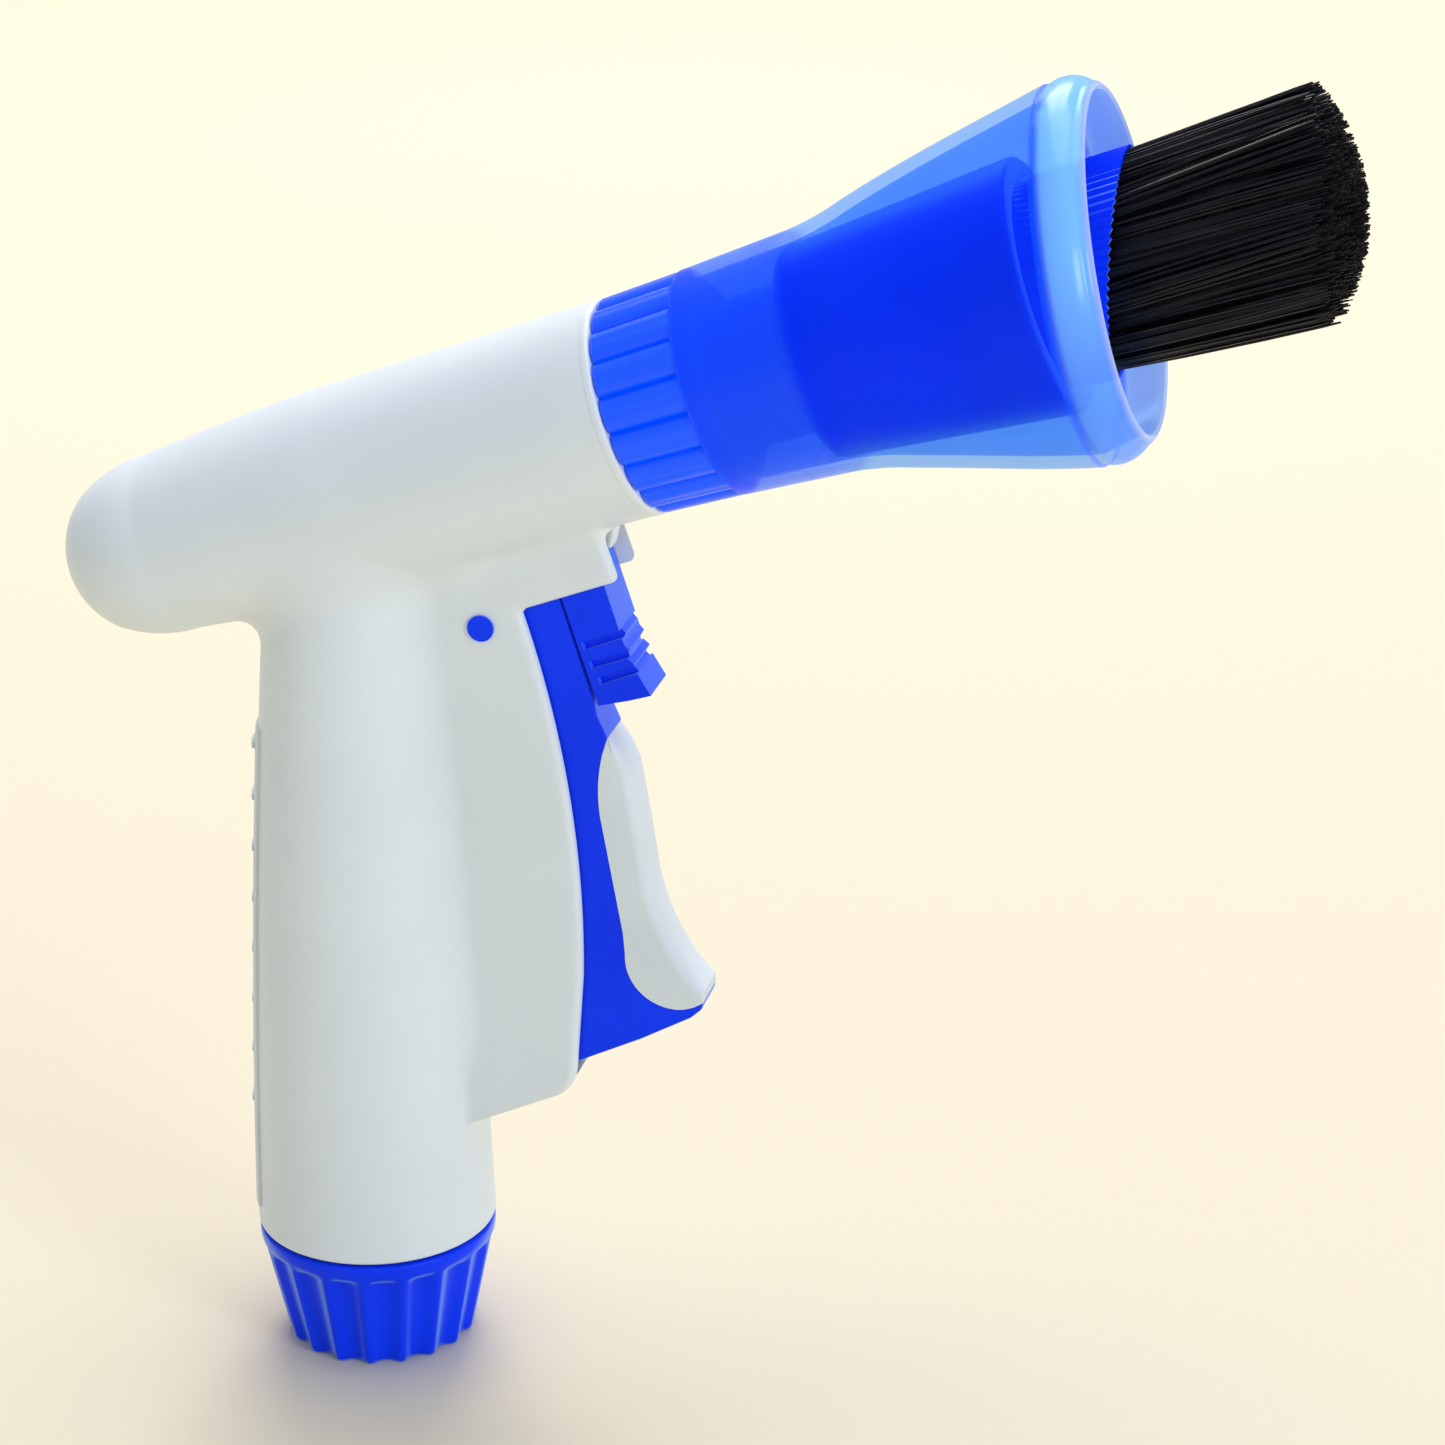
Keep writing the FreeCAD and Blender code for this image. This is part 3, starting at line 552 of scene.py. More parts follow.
@dataclass(frozen=True)
class MouldedPlastic:
    """Opaque moulded plastic: slight mottling, fine grain, faint scuffs.

    It can have a gate mark at one place, and a painted sheen: a paler colour where it is seen at a
    slant, standing in for reflection.
    """

    name: str
    colour: Triple
    shade: Triple
    roughness: float = 0.32
    grain: float = 0.05
    specular: float = 0.5
    gate: Optional[Triple] = None
    # painted reflection: the colour that faces seen at a slant are paled towards
    sheen: Optional[Triple] = None

    def make(self) -> bpy.types.Material:
        """Build the material."""
        desk = ShaderDesk(self.name)
        mottle = desk.noise(38.0, 4.0)
        cloud = desk.noise(900.0, 2.0)
        scuff = desk.noise(160.0, 5.0, (1.0, 1.0, 0.12)).between(0.60, 0.78)
        fine = desk.noise(2600.0, 2.0)
        share = mottle.between(0.30, 0.72) * 0.75 + cloud * 0.25
        colour = desk.blend(share, self.shade, self.colour)
        if self.gate:
            centre = [part * MM for part in self.gate]
            away = {0: desk.coords, 1: centre}
            gap = desk.value("ShaderNodeVectorMath", {"operation": "DISTANCE"}, away, "Value")
            mark = (1 - (gap + (cloud - 0.5) * 0.0012).between(0.0008, 0.0017)) * 0.55
            colour = desk.blend(mark, colour, (0.32, 0.35, 0.35))
        # painted sheen: faces seen at a slant are paled towards the sheen colour, a painted
        # reflection
        if self.sheen:
            edge = desk.value("ShaderNodeLayerWeight", None, {"Blend": 0.5}, "Facing")
            colour = desk.blend(edge.between(0.42, 0.86) * 0.85, colour, self.sheen)
        roughness = self.roughness + (mottle - 0.5) * 0.14 + scuff * 0.10
        normal = desk.bump(fine + cloud * 0.8 - scuff * 0.6, self.grain, 0.00012)
        inputs = {
            "Base Color": colour,
            "Roughness": roughness,
            "Normal": normal,
            "Specular IOR Level": self.specular,
        }
        return desk.finish(desk.skin(inputs))


@dataclass(frozen=True)
class ClearPlastic:
    """Tinted clear plastic that deepens towards its thick collar, with painted light and shade."""

    name: str = "funnel_clear_blue"
    tint: Triple = (0.58, 0.80, 1.0)
    colour: Triple = (0.001, 0.072, 0.97)
    # painted highlight: the pale colour laid on the lip's bead in place of light off and through it
    lip_highlight: Triple = (0.26, 0.68, 1.0)
    # painted glow: a faint blue emission, though the funnel is no lamp
    painted_glow: Triple = (0.0, 0.030, 0.16)
    wall_body: float = 0.125
    collar_body: float = 0.97
    waist_body: float = 0.46
    lip_body: float = 0.56
    # painted light: a pale grey wash on the inside of the mouth, and how much of it shows
    rim_light_body: float = 0.34
    rim_painted_light: Triple = (0.72, 0.80, 0.84)
    slant: float = 0.125
    collar_end: Pair = (68.2, 69.6)
    waist_end: Pair = (86.0, 89.5)
    lip_start: Pair = (131.6, 133.6)
    wall_middle: Pair = (27.8, 28.9)

    def make(self) -> bpy.types.Material:
        """Build the material."""
        desk = ShaderDesk(self.name)
        x, y, z = desk.from_barrel()
        place, side = desk.along_barrel(x, z), y / MM
        above = (z * ALONG.x - x * ALONG.z) / MM
        off_axis = (side * side + above * above) ** 0.5
        mouth = place - above * self.slant
        collar = 1 - place.between(*self.collar_end)
        waist = 1 - place.between(*self.waist_end)
        outer = off_axis.between(*self.wall_middle)
        lip = mouth.between(*self.lip_start) * outer
        # painted top light: the lip is paler and more opaque towards its top, where the light falls
        top_light = above.between(-22.0, 12.0)
        # where the painted light inside the mouth lies
        rim = mouth.between(131.0, 134.0) * (1 - outer)
        # painted shade: the crease is made more opaque, so that it shows as a dark line
        crease = mouth.between(131.1, 131.6) * (1 - mouth.between(131.9, 132.5))
        streak = desk.noise(60.0, 4.0, (1.0, 1.0, 0.4))
        edge = desk.value("ShaderNodeLayerWeight", None, {"Blend": 0.30}, "Facing")
        body = (
            self.wall_body
            + (self.waist_body - self.wall_body) * waist
            + (self.collar_body - self.waist_body) * collar
            # the lip's opaque share, larger towards the top, carries its painted highlight
            + self.lip_body * lip * (top_light * 0.35 + 0.65) * (1 - edge * 0.35)
            + (streak - 0.5) * 0.10
            + edge * 0.10
            # painted shade along the crease
            + crease * 0.45
            + self.rim_light_body * rim
        )
        # painted highlight on the lip, strongest towards the top and kept off the crease
        colour = desk.blend(lip * (1 - crease) * (top_light * 0.55 + 0.35), self.colour, self.lip_highlight)
        # painted light on the inside of the mouth
        colour = desk.blend(rim, colour, self.rim_painted_light)
        ripple = desk.bump(desk.noise(210.0, 3.0) + desk.noise(1400.0, 2.0) * 0.15, 0.05, 0.0002)
        inputs = {
            "Base Color": colour,
            "Roughness": 0.16 + streak * 0.10 + collar * 0.12,
            "Normal": ripple,
            "Specular IOR Level": 0.40,
            # painted glow
            "Emission Color": (*self.painted_glow, 1),
            "Emission Strength": 1.0,
        }
        through = desk.node("ShaderNodeBsdfTransparent", None, {"Color": (*self.tint, 1)})
        both = {0: body, 1: through.outputs[0], 2: desk.skin(inputs).outputs[0]}
        return desk.finish(desk.node("ShaderNodeMixShader", None, both))


@dataclass(frozen=True)
class SoftRubber:
    """Matt soft-touch rubber with a fine pebbled skin."""

    name: str
    colour: Triple
    shade: Triple
    roughness: float = 0.62

    def make(self) -> bpy.types.Material:
        """Build the material."""
        desk = ShaderDesk(self.name)
        mottle = desk.noise(55.0, 4.0)
        pebble = desk.value(
            "ShaderNodeTexVoronoi", None, {"Vector": desk.coords, "Scale": 2200.0}
        )
        smudge = desk.noise(240.0, 5.0).between(0.56, 0.8)
        colour = desk.blend(mottle.between(0.3, 0.75), self.shade, self.colour)
        inputs = {
            "Base Color": colour,
            "Roughness": self.roughness + (mottle - 0.5) * 0.16 - smudge * 0.08,
            "Normal": desk.bump(pebble + mottle * 0.4, 0.16, 0.00018),
            "Specular IOR Level": 0.35,
        }
        return desk.finish(desk.skin(inputs))


@dataclass(frozen=True)
class Nylon:
    """Black nylon strands with a slight sheen along them."""

    name: str = "bristle_nylon"
    colour: Triple = (0.008, 0.009, 0.011)
    shade: Triple = (0.002, 0.002, 0.003)

    def make(self) -> bpy.types.Material:
        """Build the material."""
        desk = ShaderDesk(self.name)
        strand = desk.noise(900.0, 2.0, (0.3, 1.0, 0.6))
        x, _, z = desk.from_barrel()
        worn = desk.along_barrel(x, z).between(168.0, 184.0)
        colour = desk.blend(strand.between(0.3, 0.7) * 0.8 + worn * 0.2, self.shade, self.colour)
        inputs = {
            "Base Color": colour,
            "Roughness": 0.30 + strand * 0.16 + worn * 0.12,
            "Normal": desk.bump(desk.noise(3000.0, 2.0), 0.08, 0.0001),
            "Specular IOR Level": 0.22,
        }
        return desk.finish(desk.skin(inputs))


@dataclass(frozen=True)
class Metal:
    """Turned or drawn metal with fine lines across its axis."""

    name: str
    colour: Triple
    shade: Triple
    roughness: float = 0.30

    def make(self) -> bpy.types.Material:
        """Build the material."""
        desk = ShaderDesk(self.name)
        lines = desk.noise(500.0, 3.0, (6.0, 1.0, 1.0))
        stain = desk.noise(90.0, 4.0).between(0.4, 0.7)
        inputs = {
            "Base Color": desk.blend(stain, self.shade, self.colour),
            "Metallic": 1.0,
            "Roughness": self.roughness + lines * 0.18,
            "Normal": desk.bump(lines, 0.12, 0.0001),
        }
        return desk.finish(desk.skin(inputs))


class Finishes:
    """Every material of the object, by the record's finish."""

    def __init__(self) -> None:
        """Make each material once."""
        white, shadow = (0.715, 0.790, 0.758), (0.675, 0.750, 0.720)
        blue, deep = (0.001, 0.047, 0.96), (0.001, 0.034, 0.84)
        self.by_slot: dict[Slot, bpy.types.Material] = {
            Slot.WHITE: MouldedPlastic(
                "shell_white", white, shadow, 0.42, 0.05, gate=(-24.4, -12.9, 157.4)
            ).make(),
            # the blue pieces carry a painted sheen, a painted reflection at grazing angles
            Slot.BLUE: MouldedPlastic(
                "moulded_blue", blue, deep, 0.38, 0.05, 0.13, sheen=(0.16, 0.34, 0.90)
            ).make(),
            Slot.CLEAR: ClearPlastic().make(),
            Slot.GREY_RUBBER: SoftRubber(
                "soft_grey", (0.700, 0.770, 0.735), (0.640, 0.710, 0.680)
            ).make(),
            Slot.BLACK_RUBBER: SoftRubber(
                "black_seal", (0.030, 0.030, 0.031), (0.018, 0.018, 0.019), 0.5
            ).make(),
            Slot.BRISTLE: Nylon().make(),
            Slot.STEEL: Metal("spring_steel", (0.64, 0.65, 0.67), (0.48, 0.49, 0.50)).make(),
            Slot.BRASS: Metal("turned_brass", (0.80, 0.60, 0.27), (0.62, 0.44, 0.18)).make(),
        }

    def __getitem__(self, slot: Slot) -> bpy.types.Material:
        """The material of one finish."""
        return self.by_slot[slot]

    def dress_frame(self) -> None:
        """Give every carried-over CAD node its material."""
        for part in frame["record"]["subparts"]:
            node = frame["nodes"][part["node"]]
            material = self.by_slot[Slot(part["material_slot"])]
            if not node.material_slots:
                node.data.materials.append(material)
            for place in node.material_slots:
                place.material = material


# ---- white shell


@dataclass
class BodyShell:
    """Handle, barrel and trigger fin as one white moulding."""

    handle_bottom: float = 22.8
    handle_radius: float = 21.4
    handle_top: float = 150.0
    handle_top_radius: float = 14.2
    handle_curve: float = 1945.0
    barrel_front: float = 54.25
    barrel_front_radius: float = 18.4
    fin_half: float = 7.0
    fin_edge: float = 1.3
    slot_half: float = 5.5
    voxel: float = 0.78
    barrel_fillet: float = 5.0
    fin_fillet: float = 4.5
    foot_fillet: float = 0.8
    bracket_fillet: float = 2.4
    valve_height: float = 105.0

    def handle_line(self) -> Outline:
        """Closed (radius, height) outline of the handle, longer at the foot than it will be."""
        bottom = (self.handle_radius, self.handle_bottom + 0.6, self.handle_curve)
        side = trace([bottom, (self.handle_top_radius, self.handle_top)], 2.0)
        foot = [(0.0, self.handle_bottom - 4), (self.handle_radius, self.handle_bottom - 4)]
        return foot + side + [(0.0, self.handle_top)]

    def barrel_line(self) -> Outline:
        """Closed (along, radius) outline of the barrel, longer in front than it will be."""
        corners = [(self.barrel_front, self.barrel_front_radius), (0, 17.9, 540)]
        corners += [(-33, 15.6, 24), (-46, 12.4, 15), (-52.3, 2.5), (-52.3, 0)]
        side = trace(corners, 0.8)
        front = [(self.barrel_front + 4, 0.0), (self.barrel_front + 4, self.barrel_front_radius)]
        return front + side

    def fin_line(self) -> Outline:
        """Closed (x, z) outline of the fin and its bracket."""
        corners = [(10, 40.7), (35.2, 52, 7), (40, 58), (41.5, 76, 198), (32.3, 142.8)]
        corners += [(49.3, 149.1), (46.1, 158.7), (44.1, 166.7), (10, 157.8)]
        return trace(corners, 1.5, closed=True)

    def blank(self) -> Piece:
        """Rough union of the three parts as an even net of small faces."""
        handle = Bench.turn("shell_body", self.handle_line(), 96)
        barrel = Bench.turn("barrel_blank", swapped(self.barrel_line()), 96)
        Bench.lay_on_barrel(barrel)
        fin = Bench.plate("fin_blank", self.fin_line(), self.fin_half)
        shell = Bench.join(handle, barrel, fin)
        shell.data.remesh_voxel_size = self.voxel * MM
        Bench.focus(shell)
        bpy.ops.object.voxel_remesh()
        return shell

    def distance(self, place: np.ndarray) -> np.ndarray:
        """Signed distance of places from the finished outside, with its fillets."""
        handle = Distance.to_outline(
            self.handle_line(), np.hypot(place[:, 0], place[:, 1]), place[:, 2]
        )
        over = place[:, 2] - BARREL_HEIGHT
        along = place[:, 0] * ALONG.x + over * ALONG.z
        up = over * ALONG.x - place[:, 0] * ALONG.z
        barrel = Distance.to_outline(self.barrel_line(), along, np.hypot(up, place[:, 1]))
        fin = Distance.to_plate(self.fin_line(), self.fin_half, self.fin_edge, place)
        joined = Distance.rounded_union(handle, barrel, self.barrel_fillet)
        rise = smooth_rise(place[:, 2], 50, 66)
        fillet = self.foot_fillet + (self.fin_fillet - self.foot_fillet) * rise
        front = smooth_rise(place[:, 0], 20, 30)
        fillet = fillet + (self.bracket_fillet - fillet) * front
        return Distance.rounded_union(joined, fin, fillet)

    def settle(self, shell: Piece) -> None:
        """Let the net relax and pull it onto the finished outside, a few times."""
        reach = 0.02
        for relaxing in (2, 2, 1, 0):
            if relaxing:
                Bench.focus(shell, edit=True)
                bpy.ops.mesh.vertices_smooth(factor=0.5, repeat=relaxing)
                Bench.clear()
            place = Bench.places(shell)
            for _ in range(2):
                here = self.distance(place)
                slope = np.stack(
                    [self.distance(place + step) - here for step in np.eye(3) * reach], 1
                )
                slope /= np.maximum(np.linalg.norm(slope, axis=1, keepdims=True), 1e-9)
                place = place - slope * here[:, None]
            Bench.move_to(shell, place)

    def hollow(self, shell: Piece) -> None:
        """Square off both ends and cut the trigger slot, waterway and valve chamber."""
        foot = self.handle_bottom + 0.9
        front = self.barrel_front - 0.7
        slot = [(20.6, 47.6), (35.0, 54.1), (60, 54.1), (60, 161.7), (16.4, 146.3), (17, 118)]
        waterway = [(0, 20), (9.5, 20), (9.5, 40.2), (8, 40.2), (8, 94), (0, 94)]
        chamber = [(0, -20), (6.5, -20), (6.5, 6), (5, 6), (5, 20), (0, 20)]
        bore = [(0, -38), (8.4, -38), (13.4, -32), (13.4, 49.2), (11, 52.2), (11, 60), (0, 60)]
        chamber_tool = Bench.turn("chamber_tool", chamber, 48)
        turn = Matrix.Rotation(math.pi / 2, 4, "Y")
        chamber_tool.matrix_world = Matrix.Translation((0, 0, self.valve_height * MM)) @ turn
        Bench.carve(
            shell,
            Bench.rod("foot_tool", 40, foot, 5),
            Bench.lay_on_barrel(Bench.rod("front_tool", 30, front, 75)),
            Bench.plate("slot_tool", slot, self.slot_half),
            Bench.turn("waterway_tool", waterway, 64),
            chamber_tool,
            Bench.lay_on_barrel(Bench.turn("bore_tool", bore, 64)),
        )

    def rims(self) -> list[Piece]:
        """Rounded foot of the handle, front rim with its neck, and the catch in the bracket."""
        foot, radius = self.handle_bottom, self.handle_radius
        foot_rim = trace([(radius - 0.6, foot, 0.62), (radius + 0.02, foot + 0.6)], 0.15)
        foot_line = [(9.6, foot + 1.6), (9.6, foot)] + foot_rim
        foot_line += [(radius + 0.02, foot + 1.5), (radius - 0.2, foot + 1.6), (9.6, foot + 1.6)]
        foot_ring = Bench.turn("foot_ring", foot_line, 192)
        front, rim = self.barrel_front, self.barrel_front_radius + 0.06
        edge = trace([(rim, front - 0.6, 0.62), (rim - 0.6, front)], 0.15)
        front_line = [(11, front - 1.5), (rim - 0.2, front - 1.5), (rim, front - 1.3)] + edge
        front_line += [(15, front), (15, 62.6), (14.6, 63), (11, 63), (11, front - 1.5)]
        front_ring = Bench.lay_on_barrel(Bench.turn("front_ring", front_line, 192))
        catch = Bench.plate(
            "catch", [(45.9, 153.4), (47.0, 153.2), (48.4, 159.4), (45.5, 159.4)], 2.1
        )
        Bench.round_edges(catch, 0.5)
        return [foot_ring, front_ring, catch]

    def build(self, finishes: Finishes) -> None:
        """Model the shell and dress it."""
        shell = self.blank()
        self.settle(shell)
        self.hollow(shell)
        Bench.join(shell, *self.rims())
        Bench.smooth(shell, 34)
        Bench.fit(shell, Body.HANDLE, Slot.WHITE, finishes, "body_shell")


# ---- hose nut


@dataclass
class HoseNut:
    """Tapered swivel nut with hollow flutes under a plain band, and a threaded mouth."""

    mouth_radius: float = 17.0
    top_radius: float = 21.3
    height: float = 22.2
    band_bottom: float = 19.5
    ribs: int = 18
    rib_depth: float = 1.35
    thread_radius: float = 13.0
    thread_pitch: float = 2.2
    thread_depth: float = 0.55
    thread_top: float = 8.0

    def profile(self) -> Outline:
        """Closed (radius, height) outline."""
        outside = [(self.mouth_radius - 0.6, 0), (self.mouth_radius, 0.6)]
        outside += [(self.top_radius - 0.05, 20.2), (self.top_radius, 20.6)]
        outside += trace(
            [(self.top_radius, self.height - 0.6, 0.61), (self.top_radius - 0.6, self.height)],
            0.2,
        )
        inside = [(17.8, self.height), (17.8, 14.8), (9.55, 14.8), (9.55, 12.1)]
        inside += [(13.6, 12.1), (13.6, self.thread_top)]
        thread = spaced([(self.thread_radius, self.thread_top), (self.thread_radius, 0)], 0.25)
        return spaced(outside, 0.7) + inside + thread + [outside[0]]

    def shape(self, nut: Piece) -> None:
        """Press the flutes in from outside and wind the thread inside."""
        place = Bench.places(nut)
        radius = np.hypot(place[:, 0], place[:, 1])
        angle = np.arctan2(place[:, 1], place[:, 0])
        z = place[:, 2]
        cone = self.mouth_radius + (self.top_radius - self.mouth_radius) * np.clip(
            (z - 0.6) / 19.6, 0, 1
        )
        outer = smooth_rise(radius, 0, 1) * (radius > cone - 1.2) * (z < 21)
        off_flute = np.abs(((angle * self.ribs / (2 * math.pi)) % 1.0) - 0.5) * 2
        valley = 0.5 + 0.5 * np.cos(math.pi * off_flute**1.45)
        fade = 1 - smooth_rise(z, self.band_bottom - 1.3, self.band_bottom)
        pressed = radius - outer * fade * self.rib_depth * valley
        inner = (radius < self.thread_radius + 0.2) & (z < self.thread_top - 0.1) & (z > 0.3)
        turn = z / self.thread_pitch - angle / (2 * math.pi)
        ridge = np.abs((turn % 1.0) - 0.5) * 2
        pressed = np.where(inner, radius + self.thread_depth * (ridge - 0.5), pressed)
        place[:, :2] *= (pressed / radius)[:, None]
        Bench.move_to(nut, place)

    def build(self, finishes: Finishes) -> None:
        """Model the nut and dress it."""
        nut = Bench.turn("ribbed_nut", self.profile(), self.ribs * 14)
        self.shape(nut)
        Bench.smooth(nut, 40)
        Bench.fit(nut, Body.NUT, Slot.BLUE, finishes, "hose_nut")


# ---- trigger group


@dataclass
class TriggerGroup:
    """Trigger, its soft finger pad and the thumb slider that holds it in."""

    half: float = 4.9
    channel_half: float = 3.1
    slider_half: float = 5.2
    groove_start: float = 1.5
    groove_half: float = 0.72
    groove_depth: float = 1.3
    edge: float = 0.55
    pad_crown: float = 1.9
    pad_round: float = 2.6
    pin: Pair = (25.4, 139.4)
    pin_radius: float = 1.85

    @staticmethod
    def pad_line(upwards: bool) -> list[Corner]:
        """The line where the frame meets its pad, without its last corner."""
        steps = [(62.6, 72.6), (58.5, 70.9), (48.8, 80.5), (48.5, 84.5), (45.2, 104.0)]
        steps.append((46.4, 120.3))
        bends: list[float] = [-9, -9, 0, 0, -31]
        if not upwards:
            steps.reverse()
            bends = [-bend for bend in reversed(bends)]
        return [(x, z, bend) for (x, z), bend in zip(steps, bends)] + [steps[-1]]

    def make_trigger(self, finishes: Finishes) -> None:
        """Blue frame with its channel, the valve's press and the eye for the pin."""
        outline = trace(
            [(36.5, 58.6), (39.7, 58.9), (51.2, 64.4), (60.3, 69.4), (62.3, 71.2)]
            + self.pad_line(upwards=True)
            + [(44.7, 124.2), (44.4, 125.9), (38.5, 145.3), (25.4, 144.0, 4.61), (20.8, 139.4)]
            + [(29.5, 122.0), (35.0, 104.0), (36.5, 75.0)],
            1.0,
            closed=True,
        )
        frame_piece = Bench.plate("trigger_frame", outline, self.half)
        channel = [(20, 61.2), (39.2, 61.4), (47.2, 66), (46.9, 79), (46.4, 84), (43, 104)]
        channel += [(42.7, 112.5), (44.2, 119.5), (41.5, 121.5), (20, 121.5)]
        slot = [(41.7, 126.5), (44.9, 127.5), (38.9, 147.7), (35.3, 146.5)]
        eye = Bench.rod("eye_tool", self.pin_radius, -8, 8, 32)
        turn = Matrix.Rotation(math.pi / 2, 4, "X")
        eye.matrix_world = Matrix.Translation((self.pin[0] * MM, 0, self.pin[1] * MM)) @ turn
        channel_tool = Bench.plate("channel_tool", channel, self.channel_half)
        Bench.carve(frame_piece, channel_tool, Bench.plate("tongue_tool", slot, 2.0), eye)
        Bench.round_edges(frame_piece, self.edge)
        press = Bench.plate("press", [(30, 102), (43.6, 102), (43.6, 108), (30, 108)], 3.3)
        Bench.round_edges(press, 0.4)
        Bench.join(frame_piece, press)
        Bench.flatten(frame_piece, 60)
        Bench.fit(frame_piece, Body.TRIGGER, Slot.BLUE, finishes, "trigger")

    def make_pad(self, finishes: Finishes) -> None:
        """Soft pad whose front is crowned across and runs out at the frame's line."""
        front = trace([(62.9, 74.8, -40), (53.3, 95.0, 400), (50.7, 112.0, 12), (46.4, 120.3)], 0.8)
        back = trace(self.pad_line(upwards=False), 0.8)
        outline = front[:-1] + back
        half = self.half + 0.05
        share = (-1, -0.985, -0.94, -0.87, -0.78, -0.66, -0.5, -0.25)
        across = [half * part for part in share]
        across += [0.0] + [-y for y in reversed(across)]
        pad = Bench.plate("finger_pad", outline, half, across)
        place = Bench.places(pad)
        wall = np.array(back)
        for number, (x, z) in enumerate(front[:-1]):
            depth = float(np.min(np.hypot(wall[:, 0] - x, wall[:, 1] - z)))
            ahead, behind = front[min(number + 1, len(front) - 1)], front[max(number - 1, 0)]
            run = Vector((ahead[0] - behind[0], ahead[1] - behind[1])).normalized()
            inward = Vector((-run.y, run.x))
            near = (np.abs(place[:, 0] - x) < 1e-3) & (np.abs(place[:, 2] - z) < 1e-3)
            side = np.abs(place[near, 1])
            beyond = np.clip((side - half + self.pad_round) / self.pad_round, 0, 1)
            pull = 1 - np.sqrt(1 - beyond**2) + 0.10 * (side / half) ** 2
            pull *= min(self.pad_crown, 0.45 * depth)
            place[near, 0] += inward.x * pull
            place[near, 2] += inward.y * pull
        rise = np.clip((place[:, 2] - 117.3) / 3.0, 0, 1)
        place[:, 1] *= np.sqrt(1 - 0.30 * rise**2)
        Bench.move_to(pad, place)
        Bench.smooth(pad, 42)
        Bench.fit(pad, Body.TRIGGER, Slot.GREY_RUBBER, finishes, "trigger_pad")

    def make_slider(self, finishes: Finishes) -> None:
        """Thumb slider: stepped front, beak, grooved cheeks and a tongue in the frame."""
        outline = [(45.1, 126.3), (50.4, 127.6), (54.3, 128.8), (52.0, 132.6), (51.2, 133.4)]
        outline += [(51.5, 134.2), (50.5, 135.0), (50.2, 136.0), (50.6, 136.7), (49.8, 137.6)]
        outline += [(49.5, 138.5), (49.8, 139.2), (49.0, 140.1), (46.6, 147.7), (45.2, 152.0)]
        outline += [(42.4, 151.1), (43.8, 146.9), (39.0, 145.4)]
        slider = Bench.plate("thumb_slider", outline, self.slider_half)
        grooves = []
        for back, ahead in (
            ((41.2, 136.1), (50.9, 140.0)),
            ((42.4, 132.9), (51.8, 136.4)),
            ((43.9, 130.1), (53.4, 133.9)),
        ):
            run = (Vector(ahead) - Vector(back)).normalized()
            start, end = Vector(back) + run * self.groove_start, Vector(ahead)
            side = Vector((-run.y, run.x)) * self.groove_half
            bar = [tuple(corner) for corner in (start - side, end - side, end + side, start + side)]
            groove = Bench.plate("groove_tool", bar, 6.0)
            depth = self.slider_half - self.groove_depth
            Bench.carve(groove, Bench.plate("groove_core", inset(bar, -1.0), depth))
            grooves.append(groove)
        Bench.carve(slider, *grooves)
        Bench.round_edges(slider, 0.3, 2)
        tongue = [(44.2, 129.4), (41.1, 139.2), (38.7, 138.4), (41.7, 128.8)]
        tongue_piece = Bench.plate("tongue", tongue, 1.7)
        Bench.round_edges(tongue_piece, 0.25, 2)
        Bench.join(slider, tongue_piece)
        Bench.flatten(slider, 60)
        Bench.fit(slider, Body.SLIDER, Slot.BLUE, finishes, "lock_slider")

    def build(self, finishes: Finishes) -> None:
        """Model and dress the three pieces."""
        self.make_trigger(finishes)
        self.make_pad(finishes)
        self.make_slider(finishes)


# ---- funnel


